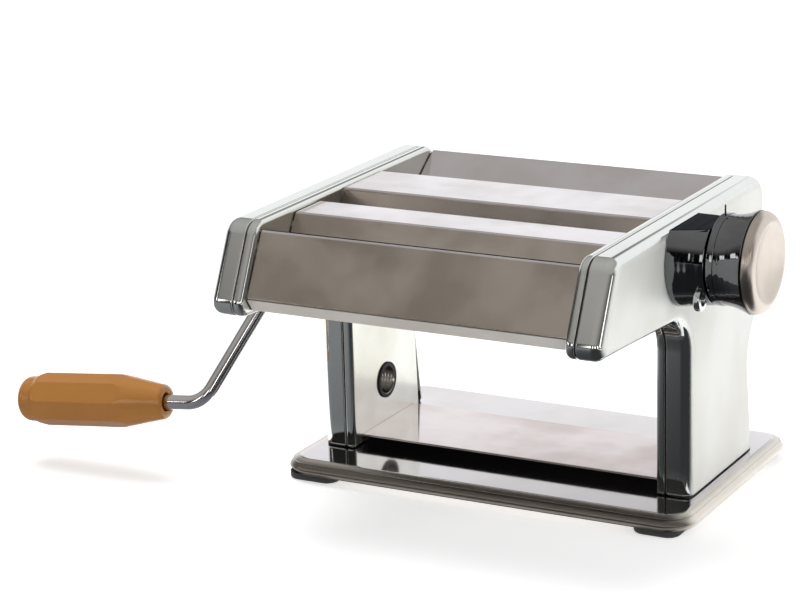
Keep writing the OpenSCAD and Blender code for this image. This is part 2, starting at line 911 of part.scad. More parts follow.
module left_bearing_plate() {
    color(steel)
        mirror([1, 0, 0])
            difference() {
                union() {
                    along_x(plate_x, plate_x + left_plate_t)
                        plate_outline(smooth_mate_y + plate_left_rear);
                    along_x(plate_x, plate_x + yoke_t)
                        translate([smooth_mate_y, lug_low_z])
                            square([yoke_rear_y - smooth_mate_y, plate_top_z - lug_low_z]);
                }
                round_x(plate_x - eps, plate_x + yoke_t + eps, smooth_mate_y, smooth_z, journal_r + run_gap);
            }
}

module carriage_bar() {
    color(steel)
        round_x(-plate_x, plate_x, bar_y, bar_z, bar_r);
}

// Rails above and below a carriage plate and the post behind its spring
module carriage_guide(low_x) {
    color(steel)
        union() {
            along_x(wall_x, rail_x)
                translate([rail_front_y, plate_top_z + pass_gap])
                    square([rail_rear_y - rail_front_y, rail_t]);
            along_x(wall_x, low_x)
                translate([rail_front_y, plate_low_z - pass_gap - rail_t])
                    square([yoke_rear_y - rail_front_y, rail_t]);
            along_x(wall_x, rail_x)
                translate([post_y, lug_low_z])
                    square([post_t, plate_top_z + pass_gap + rail_t - lug_low_z]);
        }
}

module right_carriage_guide() {
    carriage_guide(rail_x);
}

module left_carriage_guide() {
    mirror([1, 0, 0])
        carriage_guide(plate_x + left_plate_t);
}

module carriage_spring(s) {
    color(steel)
        translate([s * spring_x, yoke_rear_y + spring_end_gap, spring_z])
            rotate([-90, 0, 0])
                cylinder(r = spring_r, h = spring_l - 2 * spring_end_gap);
}

// Spiral cam: its radius toward the yoke grows evenly as the regulator turns
module regulator_cam() {
    color(steel)
        difference() {
            along_x(cam_x, cam_x + cam_t)
                translate([reg_y, reg_z])
                    polygon(concat(
                        [for (a = [0 : cam_step : reg_turn + cam_over])
                            (cam_min_r + cam_rate * a) * [cos(a), -sin(a)]],
                        [for (a = [reg_turn + 2 * cam_over : cam_step : 360 - cam_step])
                            cam_min_r * [cos(a), -sin(a)]]
                    ));
            round_x(cam_x - eps, cam_x + cam_t + eps, reg_y, reg_z, spigot_r);
        }
}

module regulator_shaft() {
    color(steel)
        union() {
            round_x(inner_x + pass_gap, shoulder_x, reg_y, reg_z, spigot_r);
            round_x(shoulder_x, boss_x, reg_y, reg_z, reg_r);
            translate([boss_x, reg_y - square_w / 2, reg_z - square_w / 2])
                cube([washer_x - boss_x, square_w, square_w]);
        }
}

module retaining_washer() {
    color(steel)
        round_x(washer_x, washer_x + washer_t, reg_y, reg_z, washer_r);
}

module knob_spring() {
    color(steel)
        difference() {
            round_x(knob_x + hub_t + spring_end_gap, washer_x, reg_y, reg_z, knob_spring_out_r);
            round_x(knob_x + hub_t - eps, washer_x + eps, reg_y, reg_z, knob_spring_in_r);
        }
}

// Conical boss with a flat level with the top of the side and a groove that stops the knob
module regulator_boss() {
    color(chrome)
        difference() {
            translate([outer_x, reg_y, reg_z])
                rotate([0, 90, 0])
                    cylinder(r1 = boss_r, r2 = boss_end_r, h = boss_l);
            round_x(outer_x - eps, boss_x + eps, reg_y, reg_z, reg_r + run_gap);
            translate([outer_x - eps, reg_y - boss_r, flat_z])
                cube([boss_l + 2 * eps, 2 * boss_r, boss_r]);
            translate([boss_x - stop_depth, reg_y, reg_z])
                rotate([stop_start - stop_margin, 0, 0])
                    rotate([90, 0, 90])
                        rotate_extrude(angle = reg_turn + 2 * stop_margin)
                            translate([stop_r - stop_groove, 0])
                                square([2 * stop_groove, stop_depth + eps]);
            boss_screw_spot()
                cylinder(r = boss_screw_r, h = boss_screw_l + eps);
        }
}

// Place of the round screw at the lower edge of the boss
module boss_screw_spot() {
    translate([boss_x - boss_screw_l + boss_screw_out, reg_y, reg_z])
        rotate([boss_screw_turn, 0, 0])
            translate([0, boss_end_r, 0])
                rotate([0, 90, 0])
                    children();
}

module boss_screw() {
    color(chrome)
        boss_screw_spot()
            difference() {
                cylinder(r = boss_screw_r, h = boss_screw_l);
                translate([0, 0, boss_screw_l - boss_screw_out])
                    cylinder(r = boss_screw_hole_r, h = boss_screw_out + eps);
            }
}

// Outline of the knob: a lip, a waist and a flared rim
function knob_profile() = concat(
    [[0, 0], [boss_end_r, 0]],
    [for (i = [0 : flare_steps])
        let (t = i / flare_steps)
        [knob_waist_r + (knob_rim_r - knob_waist_r) * t * t, knob_lip_l + (knob_l - knob_lip_l) * t]],
    [[0, knob_l]]
);

module knob_body() {
    color(chrome)
        difference() {
            about_x(reg_y, reg_z)
                translate([0, 0, knob_x])
                    rotate_extrude()
                        polygon(knob_profile());
            translate([knob_x - eps, reg_y - square_w / 2 - square_gap, reg_z - square_w / 2 - square_gap])
                cube([hub_t + 2 * eps, square_w + 2 * square_gap, square_w + 2 * square_gap]);
            round_x(knob_x + hub_t, knob_end_x + eps, reg_y, reg_z, spring_cave_r);
            index_pin_shape();
            stop_pin_shape();
        }
}

// Cap with a round rim and a shallow dish
module knob_cap() {
    rim = (knob_rim_r - cap_dish_r) / 2;
    color(champagne)
        about_x(reg_y, reg_z)
            translate([0, 0, knob_end_x])
                rotate_extrude()
                    polygon(concat(
                        [[0, 0], [knob_rim_r, 0]],
                        [for (i = [0 : cap_round_steps])
                            let (a = 180 * i / cap_round_steps)
                            [knob_rim_r - rim + rim * cos(a), cap_t - cap_dish + cap_dish * sin(a)]],
                        [[0, cap_t - cap_dish]]
                    ));
}

module index_pin_shape() {
    translate([index_x, reg_y, reg_z + knob_waist_r - index_in])
        cylinder(r = index_r, h = index_in + index_out);
}

module index_pin() {
    color(dark)
        index_pin_shape();
}

module stop_pin_shape() {
    translate([0, reg_y, reg_z])
        rotate([stop_start, 0, 0])
            translate([boss_x - stop_depth + pass_gap, stop_r, 0])
                rotate([0, 90, 0])
                    cylinder(r = stop_pin_r, h = knob_gap + 2 * stop_depth - pass_gap);
}

module stop_pin() {
    color(steel)
        stop_pin_shape();
}

// Plane of the crank: x outward from the cover, y away from the roller axis
module crank_plane() {
    translate([-outer_x, smooth_drive_y, smooth_z])
        rotate([-arm_swing, 0, 0])
            rotate([-90, 0, 180])
                children();
}

// Straight piece of rod from a point toward a direction
module rod_run(p, dir, l) {
    translate([p.x, p.y, 0])
        rotate([0, 0, dir])
            rotate([0, 90, 0])
                cylinder(r = rod_r, h = l);
}

// Bent piece of rod about a centre, a hair thinner and lapped into the runs at its ends
module rod_bend(p, from, turn) {
    translate([p.x, p.y, 0])
        rotate([0, 0, from - bend_lap])
            rotate_extrude(angle = turn + 2 * bend_lap)
                translate([bend_r, 0])
                    circle(rod_r - bend_thin);
}

module crank_rod() {
    arm_u = [cos(arm_dir), sin(arm_dir)];
    grip_u = [cos(grip_droop), sin(grip_droop)];
    arm_from = [rod_exit, 0] + first_cut * arm_u;
    arm_to = grip_corner - second_cut * arm_u;
    color(chrome)
        crank_plane() {
            difference() {
                rod_run([-rod_inside, 0], 0, rod_inside + rod_exit - first_cut);
                drive_pin_shape();
            }
            rod_bend([rod_exit - first_cut, bend_r], -90, arm_dir);
            rod_run(arm_from, arm_dir, norm(arm_to - arm_from));
            rod_bend(arm_to + bend_r * [sin(arm_dir), -cos(arm_dir)], grip_droop + 90, second_turn);
            rod_run(grip_corner + second_cut * grip_u, grip_droop, collar_z - second_cut);
        }
}

// Cross pin that turns the socket, drawn in the plane of the crank
module drive_pin_shape() {
    translate([socket_out - drive_slot_l / 2, -drive_pin_l / 2, 0])
        rotate([-90, 0, 0])
            cylinder(r = drive_pin_r, h = drive_pin_l);
}

module drive_pin() {
    color(steel)
        crank_plane()
            drive_pin_shape();
}

// Axis of the handle, with z running along it from the rod's second corner
module grip_axis() {
    crank_plane()
        translate([grip_corner.x, grip_corner.y, 0])
            rotate([0, 0, grip_droop])
                rotate([0, 90, 0])
                    children();
}

module grip_collar() {
    color(steel)
        grip_axis()
            translate([0, 0, collar_z])
                cylinder(r = collar_r, h = collar_t);
}

// Turned neck of the handle that swells into the faceted part
function grip_neck() = concat(
    [[0, grip_start]],
    [for (i = [0 : flare_steps])
        let (t = i / flare_steps)
        [grip_neck_r + (grip_r * cos(180 / grip_flats) - grip_neck_r) * (1 - cos(180 * t)) / 2,
            grip_start + grip_taper_l * t]],
    [[0, grip_start + grip_taper_l]]
);

module grip_body() {
    flats_z = grip_start + grip_taper_l;
    flats_l = grip_l - grip_taper_l - grip_cap_l - grip_groove_l;
    color(ochre)
        grip_axis()
            difference() {
                union() {
                    rotate_extrude()
                        polygon(grip_neck());
                    translate([0, 0, flats_z])
                        cylinder(r = grip_r, h = flats_l, $fn = grip_flats);
                    translate([0, 0, flats_z + flats_l])
                        cylinder(r = grip_cap_r - grip_groove_d, h = grip_groove_l);
                }
                translate([0, 0, grip_start - eps])
                    cylinder(r = rod_r + run_gap, h = grip_l);
                translate([0, 0, collar_z - collar_room])
                    cylinder(r = collar_r + collar_room, h = grip_l);
            }
}

module grip_cap() {
    cap_from = grip_end_z - grip_cap_l;
    color(ochre)
        grip_axis()
            rotate_extrude()
                polygon(concat(
                    [[0, cap_from], [grip_cap_r, cap_from], [grip_cap_r, grip_end_z - grip_wall_end]],
                    [for (i = [1 : cap_round_steps])
                        let (a = 90 * i / cap_round_steps)
                        [grip_cap_r * cos(a), grip_end_z - grip_wall_end + grip_wall_end * sin(a)]]
                ));
}

base_plate();
foot(-1, -1);  // foot_front_left
foot(1, -1);  // foot_front_right
foot(-1, 1);  // foot_rear_left
foot(1, 1);  // foot_rear_right
floor_pan();
left_frame();
right_frame();
left_cover();
right_cover();
front_panel();
front_guide();
rear_guide();
rear_panel();
tie_rod(0);  // front_tie_rod
tie_rod(1);  // middle_tie_rod
tie_rod(2);  // rear_tie_rod
left_bushes();
right_bushes();
socket_ring(narrow_drive_y, narrow_z);  // narrow_socket_ring
socket_ring(smooth_drive_y, smooth_z);  // smooth_socket_ring
socket_ring(wide_drive_y, wide_z);  // wide_socket_ring
clamp_grommet();
narrow_combs();
smooth_scrapers();
wide_combs();
left_carriage_guide();
right_carriage_guide();
regulator_boss();
boss_screw();
cutter(narrow_drive_y, narrow_z, narrow_ring, 0, socket_x, gear_end_x, true);  // narrow_drive_cutter
gear(gear_x, narrow_drive_y, narrow_z, cutter_teeth, cutter_root_r, cutter_tip_r, 0, journal_r);  // narrow_drive_gear
cutter(narrow_mate_y, narrow_z, narrow_ring, narrow_ring + ring_gap, short_end_x, gear_end_x, false);  // narrow_mate_cutter
gear(gear_x, narrow_mate_y, narrow_z, cutter_teeth, cutter_root_r, cutter_tip_r,  // narrow_mate_gear
        mate_phase(cutter_teeth), journal_r);
smooth_roller(smooth_drive_y, short_end_x, true);  // smooth_drive_roller
gear(-gear_end_x, smooth_drive_y, smooth_z, smooth_teeth, smooth_root_r, smooth_tip_r, 0, socket_r);  // smooth_drive_gear
smooth_roller(smooth_mate_y, plate_x + yoke_t, false);  // smooth_mate_roller
gear(-gear_end_x, smooth_mate_y, smooth_z, smooth_teeth, smooth_root_r, smooth_tip_r,  // smooth_mate_gear
        mate_phase(smooth_teeth), journal_r);
cutter(wide_drive_y, wide_z, wide_ring, 0, socket_x, short_end_x, true);  // wide_drive_cutter
gear(-gear_end_x, wide_drive_y, wide_z, cutter_teeth, cutter_root_r, cutter_tip_r, 0, socket_r);  // wide_drive_gear
cutter(wide_mate_y, wide_z, wide_ring, wide_ring + ring_gap, gear_end_x, short_end_x, false);  // wide_mate_cutter
gear(-gear_end_x, wide_mate_y, wide_z, cutter_teeth, cutter_root_r, cutter_tip_r,  // wide_mate_gear
        mate_phase(cutter_teeth), journal_r);
right_yoke();
left_bearing_plate();
carriage_bar();
carriage_spring(1);  // right_carriage_spring
carriage_spring(-1);  // left_carriage_spring
regulator_shaft();
regulator_cam();
retaining_washer();
knob_spring();
knob_body();
knob_cap();
index_pin();
stop_pin();
crank_rod();
drive_pin();
grip_collar();
grip_body();
grip_cap();
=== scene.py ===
import math
import bpy
import bmesh
from mathutils import Matrix, Vector


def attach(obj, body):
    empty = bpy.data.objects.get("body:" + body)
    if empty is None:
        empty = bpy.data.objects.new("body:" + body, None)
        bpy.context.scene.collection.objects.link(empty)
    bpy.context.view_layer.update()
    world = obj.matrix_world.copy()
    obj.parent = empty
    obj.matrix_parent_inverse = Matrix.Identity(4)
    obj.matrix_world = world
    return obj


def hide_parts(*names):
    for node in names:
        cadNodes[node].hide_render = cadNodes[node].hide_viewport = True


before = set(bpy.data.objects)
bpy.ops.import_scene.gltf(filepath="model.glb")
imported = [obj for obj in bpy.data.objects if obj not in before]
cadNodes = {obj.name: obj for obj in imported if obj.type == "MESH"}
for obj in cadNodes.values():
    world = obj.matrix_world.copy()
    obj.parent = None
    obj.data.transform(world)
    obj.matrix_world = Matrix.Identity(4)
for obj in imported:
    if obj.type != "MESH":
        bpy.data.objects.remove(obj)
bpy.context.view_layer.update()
mm = 0.001
print("frame loaded:", len(cadNodes), "nodes")


def hexLinear(text):
    parts = [int(text[i:i + 2], 16) / 255 for i in (1, 3, 5)]
    return tuple(c / 12.92 if c <= 0.04045 else ((c + 0.055) / 1.055) ** 2.4 for c in parts) + (1,)


# an input is a plain value, a hex colour, a socket, or a node whose first output is meant
def addNode(tree, kind, inputs=None, **settings):
    node = tree.nodes.new(kind)
    for name, value in settings.items():
        setattr(node, name, value)
    for name, value in (inputs or {}).items():
        if isinstance(value, bpy.types.Node):
            value = next(out for out in value.outputs if not out.is_unavailable)
        if isinstance(value, bpy.types.NodeSocket):
            tree.links.new(value, node.inputs[name])
        else:
            node.inputs[name].default_value = hexLinear(value) if isinstance(value, str) else value
    return node


def emptyTree(owner):
    owner.use_nodes = True
    owner.node_tree.nodes.clear()
    return owner.node_tree


def newMaterial(name):
    material = bpy.data.materials.new(name)
    return material, emptyTree(material)


def finishWith(material, kind, inputs):
    shader = addNode(material.node_tree, kind, inputs)
    addNode(material.node_tree, "ShaderNodeOutputMaterial", {"Surface": shader})
    return material


def perMm(size):
    return 1 / (size * mm)  # texture scale whose features are about size millimetres


# Chromium plate on pressed steel: buffed bright round the edges, so they mirror the room, with the flat sides
# left satin where a satin is given; the pressing is never dead flat, and fingers and flour leave a dull film.
# A front tint browns and darkens the faces that look forwards, a painted reflection of the dim room in front.
def chromePlate(name, tint, waveMm, waveLift, rough, satin=None, front=None):
    material, tree = newMaterial(name)
    coords = addNode(tree, "ShaderNodeTexCoord").outputs
    place = coords["Object"]
    film = addNode(tree, "ShaderNodeTexNoise", {"Vector": place, "Scale": perMm(34), "Detail": 4.0, "Roughness": 0.62})
    wave = addNode(tree, "ShaderNodeTexNoise", {"Vector": place, "Scale": perMm(waveMm), "Detail": 1.0})
    fine = addNode(tree, "ShaderNodeTexNoise", {"Vector": place, "Scale": perMm(1.6), "Detail": 2.0})
    dull = addNode(tree, "ShaderNodeMapRange", {"Value": film, "To Min": rough[0], "To Max": rough[1]})
    dull = addNode(tree, "ShaderNodeMath", {0: fine, 1: 0.03, 2: dull}, operation="MULTIPLY_ADD")
    shade = addNode(tree, "ShaderNodeMix", {"Factor": film, "A": tint[0], "B": tint[1]}, data_type="RGBA")
    facing = addNode(tree, "ShaderNodeSeparateXYZ", {0: coords["Normal"]}).outputs
    metal = 1
    if satin:
        sideways = addNode(tree, "ShaderNodeMath", {0: facing["X"]}, operation="ABSOLUTE")
        flat = addNode(tree, "ShaderNodeMapRange", {"Value": sideways, "From Min": 0.72, "From Max": 0.97})
        grime = addNode(tree, "ShaderNodeTexNoise", {"Vector": place, "Scale": perMm(48), "Detail": 3.0})
        grime = addNode(tree, "ShaderNodeMapRange", {"Value": grime, "From Min": 0.42, "From Max": 0.68})
        face = addNode(tree, "ShaderNodeMix", {"Factor": grime, "A": satin["tint"][0], "B": satin["tint"][1]},
                       data_type="RGBA")
        shade = addNode(tree, "ShaderNodeMix", {"Factor": flat, "A": shade, "B": face}, data_type="RGBA")
        dull = addNode(tree, "ShaderNodeMix", {"Factor": flat, "A": dull, "B": satin["rough"]})
        metal = addNode(tree, "ShaderNodeMix", {"Factor": flat, "A": 1.0, "B": satin["metal"]})
    # painted reflection: faces that look forwards are mixed towards the darker, browner front tint
    if front:
        brown = addNode(tree, "ShaderNodeMapRange", {"Value": facing["Y"], "From Min": -0.1, "From Max": -0.7},
                        interpolation_type="SMOOTHSTEP")
        paintedReflectionTint = addNode(tree, "ShaderNodeMix", {"Factor": film, "A": front[0], "B": front[1]}, data_type="RGBA")
        shade = addNode(tree, "ShaderNodeMix", {"Factor": brown, "A": shade, "B": paintedReflectionTint}, data_type="RGBA")
    bump = addNode(tree, "ShaderNodeBump", {"Strength": waveLift, "Distance": 0.6 * mm, "Height": wave})
    return finishWith(material, "ShaderNodeBsdfPrincipled",
                      {"Base Color": shade, "Roughness": dull, "Normal": bump, "Metallic": metal})


# Dark nickel plate over turned brass: tool chatter along the axis breaks the mirrored windows into a row of spots;
# a grey edge keeps a flat that is seen aslant from flaring white, part of that flat's painted dark reflection
def darkNickel(name, tint, chatterMm, depthMm, edge="#FFFFFF"):
    material, tree = newMaterial(name)
    place = addNode(tree, "ShaderNodeTexCoord").outputs["Object"]
    along = addNode(tree, "ShaderNodeSeparateXYZ", {0: place}).outputs["X"]
    chatter = addNode(tree, "ShaderNodeTexNoise", {"W": along, "Scale": perMm(chatterMm), "Detail": 1.0},
                      noise_dimensions="1D")
    skin = addNode(tree, "ShaderNodeTexNoise", {"Vector": place, "Scale": perMm(6), "Detail": 2.0})
    ripple = addNode(tree, "ShaderNodeMath", {0: skin, 1: 0.3, 2: chatter}, operation="MULTIPLY_ADD")
    bump = addNode(tree, "ShaderNodeBump", {"Strength": 1.0, "Distance": depthMm * mm, "Height": ripple})
    shade = addNode(tree, "ShaderNodeMix", {"Factor": skin, "A": tint[0], "B": tint[1]}, data_type="RGBA")
    dull = addNode(tree, "ShaderNodeMapRange", {"Value": skin, "To Min": 0.03, "To Max": 0.1})
    return finishWith(material, "ShaderNodeBsdfPrincipled", {"Base Color": shade, "Roughness": dull, "Normal": bump,
                                                             "Metallic": 1, "Specular Tint": edge})


# Metal with a rolled or ground skin: a soft mirror with wipe marks, and grain drawn out along X or round it.
# Real rolling grain is finer than a pixel, so it is drawn as coarse as it needs to show.
def rolledStainless(name, tint, grainMm, rough, wipeMm=38, metal=1):
    material, tree = newMaterial(name)
    place = addNode(tree, "ShaderNodeTexCoord").outputs["Object"]
    warp = addNode(tree, "ShaderNodeTexNoise", {"Vector": place, "Scale": perMm(60), "Detail": 0.0})
    drift = addNode(tree, "ShaderNodeVectorMath", {0: warp.outputs["Color"], "Scale": 20 * mm}, operation="SCALE")
    moved = addNode(tree, "ShaderNodeVectorMath", {0: place, 1: drift}, operation="ADD")
    wipe = addNode(tree, "ShaderNodeTexNoise", {"Vector": moved, "Scale": perMm(wipeMm), "Detail": 3.0,
                                                "Roughness": 0.5})
    smear = addNode(tree, "ShaderNodeMapRange", {"Value": wipe, "From Min": 0.35, "From Max": 0.68},
                    interpolation_type="SMOOTHSTEP")
    size = perMm(grainMm[0]), perMm(grainMm[1]), perMm(grainMm[1])
    laid = addNode(tree, "ShaderNodeMapping", {"Vector": place, "Scale": size})
    grain = addNode(tree, "ShaderNodeTexNoise", {"Vector": laid, "Scale": 1.0, "Detail": 2.0})
    dull = addNode(tree, "ShaderNodeMapRange", {"Value": smear, "To Min": rough[0], "To Max": rough[1]})
    dull = addNode(tree, "ShaderNodeMath", {0: grain, 1: 0.03, 2: dull}, operation="MULTIPLY_ADD")
    held = addNode(tree, "ShaderNodeMapRange", {"Value": smear, "To Max": 0.8})
    streak = addNode(tree, "ShaderNodeMath", {0: grain, 1: 0.2, 2: held}, operation="MULTIPLY_ADD")
    shade = addNode(tree, "ShaderNodeMix", {"Factor": streak, "A": tint[0], "B": tint[1]}, data_type="RGBA")
    bump = addNode(tree, "ShaderNodeBump", {"Strength": 0.015, "Distance": 0.3 * mm, "Height": grain})
    return finishWith(material, "ShaderNodeBsdfPrincipled",
                      {"Base Color": shade, "Roughness": dull, "Normal": bump, "Metallic": metal})


# Anodised aluminium, lathe turned: fine circles round the knob's axis give a soft sheen across the dish
def turnedAluminium(name, tint, axisY, axisZ):
    material, tree = newMaterial(name)
    place = addNode(tree, "ShaderNodeTexCoord").outputs["Object"]
    centred = addNode(tree, "ShaderNodeMapping", {"Vector": place, "Location": (0, -axisY * mm, -axisZ * mm)})
    split = addNode(tree, "ShaderNodeSeparateXYZ", {0: centred}).outputs
    flat = addNode(tree, "ShaderNodeCombineXYZ", {"Y": split["Y"], "Z": split["Z"]})
    reach = addNode(tree, "ShaderNodeVectorMath", {0: flat}, operation="LENGTH")
    track = addNode(tree, "ShaderNodeCombineXYZ", {"X": reach})
    rings = addNode(tree, "ShaderNodeTexNoise", {"Vector": track, "Scale": perMm(0.7), "Detail": 2.0})
    cloud = addNode(tree, "ShaderNodeTexNoise", {"Vector": place, "Scale": perMm(14), "Detail": 3.0})
    shade = addNode(tree, "ShaderNodeMix", {"Factor": cloud, "A": tint[0], "B": tint[1]}, data_type="RGBA")
    dull = addNode(tree, "ShaderNodeMapRange", {"Value": rings, "To Min": 0.28, "To Max": 0.33})
    bump = addNode(tree, "ShaderNodeBump", {"Strength": 0.02, "Distance": 0.1 * mm, "Height": rings})
    return finishWith(material, "ShaderNodeBsdfPrincipled",
                      {"Base Color": shade, "Roughness": dull, "Normal": bump, "Metallic": 1})


# Polypropylene or rubber, moulded: waxy and even, with a fine skin texture and faint flow clouds
def mouldedPlastic(name, tint, rough, depth):
    material, tree = newMaterial(name)
    place = addNode(tree, "ShaderNodeTexCoord").outputs["Object"]
    flow = addNode(tree, "ShaderNodeTexNoise", {"Vector": place, "Scale": perMm(22), "Detail": 3.0})
    skin = addNode(tree, "ShaderNodeTexNoise", {"Vector": place, "Scale": perMm(0.9), "Detail": 2.0})
    shade = addNode(tree, "ShaderNodeMix", {"Factor": flow, "A": tint[0], "B": tint[1]}, data_type="RGBA")
    dull = addNode(tree, "ShaderNodeMapRange", {"Value": skin, "To Min": rough[0], "To Max": rough[1]})
    bump = addNode(tree, "ShaderNodeBump", {"Strength": 0.12, "Distance": 0.1 * mm, "Height": skin})
    return finishWith(material, "ShaderNodeBsdfPrincipled", {
        "Base Color": shade, "Roughness": dull, "Normal": bump, "IOR": 1.49, "Specular IOR Level": 0.95,
        "Subsurface Weight": depth, "Subsurface Radius": (4 * mm, 2 * mm, 1 * mm), "Subsurface Scale": 0.4})


finishes = {
    # drawn side covers: bright round edges, satin flats that read as a soft white
    "sides": chromePlate("ChromePlatedSideSteel", ("#EEF1EF", "#E1E6E5"), 70, 0.06, (0.03, 0.1),
                         satin={"tint": ("#F4F5F1", "#E9E8E1"), "rough": 0.5, "metal": 0.3}),
    # pressed frames: the same plate with a shinier flat, so the legs' insides mirror the pan
    "frames": chromePlate("ChromePlatedFrameSteel", ("#EEF1EF", "#E1E6E5"), 70, 0.06, (0.03, 0.1),
                          satin={"tint": ("#E4E5DF", "#D3CFC2"), "rough": 0.2, "metal": 0.9}),
    # mirror top of the base, its scuffed rolled skirt with a painted dark reflection on its forward faces, and the
    # turned-down edge of the pan, darkened as painted shade
    "base": chromePlate("ChromePlatedBaseSteel", ("#EEECF0", "#DFDADB"), 60, 0.05, (0.03, 0.12)),
    # painted reflection: the front tint darkens the skirt's forward faces to brown-grey
    "skirt": chromePlate("ScuffedChromeSkirtPaintedReflection", ("#EEEAE3", "#DAD3CA"), 40, 0.08, (0.28, 0.34),
                         front=("#8C8780", "#77716B")),
    # painted shade: a dark copy of the plate for the pan's turned-down band
    "edges": chromePlate("ChromePanEdgePaintedShade", ("#6A686A", "#5C595A"), 60, 0.05, (0.03, 0.08)),
    # small turned fittings and the bent rod: clean hard mirrors
    "fittings": chromePlate("ChromePlatedFittings", ("#E0E2E3", "#CFD1D3"), 12, 0.10, (0.03, 0.08)),
    "rod": chromePlate("ChromePlatedRod", ("#F0F0F2", "#E0E0E3"), 25, 0.05, (0.05, 0.12)),
    # knob and boss: black mirror with bright spots; the boss's milled flat is plainer, and its darker tint and grey
    # edge are a painted dark reflection
    "knob": darkNickel("DarkNickelPlatedBrass", ("#8A8C8F", "#77797C"), 4.2, 0.16),
    # painted reflection: a darker copy of the boss's nickel for the upward milled flat
    "flat": darkNickel("DarkNickelMilledFlatPaintedReflection", ("#4A4B4E", "#3F4042"), 4.2, 0.05, "#989899"),
    # rolled sheet: pinkish wiped pan, brown leaning panels, lilac guides, and a paler, mostly diffuse copy as painted
    # light for the lip under the front panel
    "pan": rolledStainless("WipedStainlessPan", ("#ECE4E6", "#DFD1CF"), (71.429, 6.25), (0.05, 0.13), 40),
    "panels": rolledStainless("RolledStainlessPanels", ("#DAD1C8", "#B4AAA0"), (8.3333, 0.66667), (0.16, 0.24)),
    # painted light: a paler, mostly diffuse copy of the sheet for the front panel's lower lip
    "lip": rolledStainless("RolledStainlessLipPaintedLight", ("#F2ECE6", "#E2DAD2"), (8.3333, 0.66667), (0.3, 0.42), metal=0.12),
    "guides": rolledStainless("RolledStainlessGuides", ("#EFEBF0", "#E2DCDD"), (8.3333, 0.66667), (0.08, 0.16)),
    # ground rollers with lines round them, plain milled steel and porous bronze inside the housing
    "rollers": rolledStainless("GroundStainlessRollers", ("#C9C6C1", "#B0ACA6"), (1.11111, 16.6667), (0.16, 0.24)),
    "inside": rolledStainless("PlainSteelInside", ("#A6A39E", "#8D8984"), (2.5, 2.5), (0.3, 0.45)),
    "bronze": rolledStainless("SinteredBronze", ("#B98B52", "#9C7442"), (2, 2), (0.35, 0.5)),
    # champagne cap, ochre handle, black rubber feet and seals, enamelled index pin
    "cap": turnedAluminium("ChampagneAnodisedAluminium", ("#DED5CC", "#C9BFB4"), -48, 124.6),
    "grip": mouldedPlastic("OchreMouldedPolypropylene", ("#C48437", "#B6782E"), (0.16, 0.26), 0.12),
    "rubber": mouldedPlastic("BlackMouldedRubber", ("#161616", "#0D0D0D"), (0.6, 0.8), 0),
    "mark": mouldedPlastic("BlackEnamelMark", ("#1B1C1E", "#101113"), (0.4, 0.55), 0),
}
print("finishes:", len(finishes))

mesher = {"merge": 1e-7, "sharp": 35, "pole": 0.01}  # metres, degrees, and the radius that closes a turned end in mm
pole = mesher["pole"]


def lofted(loops, capped=True):
    bm = bmesh.new()
    rows = [[bm.verts.new(Vector(p) * mm) for p in loop] for loop in loops]
    for a, b in zip(rows, rows[1:]):
        for i in range(len(a)):
            k = (i + 1) % len(a)
            bm.faces.new((a[i], a[k], b[k], b[i]))
    if capped:
        bm.faces.new(list(reversed(rows[0])))
        bm.faces.new(rows[-1])
    return bm


def tidyNormals(bm):
    bmesh.ops.remove_doubles(bm, verts=bm.verts, dist=mesher["merge"])
    bmesh.ops.recalc_face_normals(bm, faces=bm.faces)


def cutAbove(bm, point, normal):
    whole = list(bm.verts) + list(bm.edges) + list(bm.faces)
    cut = bmesh.ops.bisect_plane(bm, geom=whole, plane_co=Vector(point) * mm, plane_no=normal, clear_outer=True)
    edges = [e for e in cut["geom_cut"] if isinstance(e, bmesh.types.BMEdge)]
    bmesh.ops.triangle_fill(bm, use_beauty=True, use_dissolve=False, edges=edges)
    return [e for e in edges if e.is_valid]


def markSharp(bm, sharpDeg):
    for face in bm.faces:
        face.smooth = True
    for edge in bm.edges:
        if len(edge.link_faces) == 2:
            edge.smooth = edge.calc_face_angle(0) < math.radians(sharpDeg)


def makeObject(name, bm, finish, sharpDeg=mesher["sharp"]):
    tidyNormals(bm)
    markSharp(bm, sharpDeg)
    mesh = bpy.data.meshes.new(name)
    bm.to_mesh(mesh)
    bm.free()
    mesh.materials.append(finishes[finish])
    piece = bpy.data.objects.new(name, mesh)
    bpy.context.scene.collection.objects.link(piece)
    return piece


def secondFinish(piece, finish, chosen, index=1):
    piece.data.materials.append(finishes[finish])
    for face in piece.data.polygons:
        if chosen(face):
            face.material_index = index


def bakeModifiers(piece):
    ready = piece.evaluated_get(bpy.context.evaluated_depsgraph_get())
    mesh = bpy.data.meshes.new_from_object(ready)
    old = piece.data
    piece.modifiers.clear()
    piece.data = mesh
    bpy.data.meshes.remove(old)


def cutHole(piece, cutter):
    hole = piece.modifiers.new("hole", "BOOLEAN")
    hole.operation = "DIFFERENCE"
    hole.solver = "EXACT"
    hole.object = cutter
    bakeModifiers(piece)
    bm = bmesh.new()
    bm.from_mesh(piece.data)
    tidyNormals(bm)
    markSharp(bm, mesher["sharp"])
    bm.to_mesh(piece.data)
    bm.free()


def fit(piece, body, slotName, *nodes):
    even = piece.modifiers.new("even", "WEIGHTED_NORMAL")  # flats stay flat beside their rounded edges
    even.keep_sharp = True
    bpy.context.view_layer.update()
    bakeModifiers(piece)
    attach(piece, body)
    if nodes:
        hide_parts(*nodes)


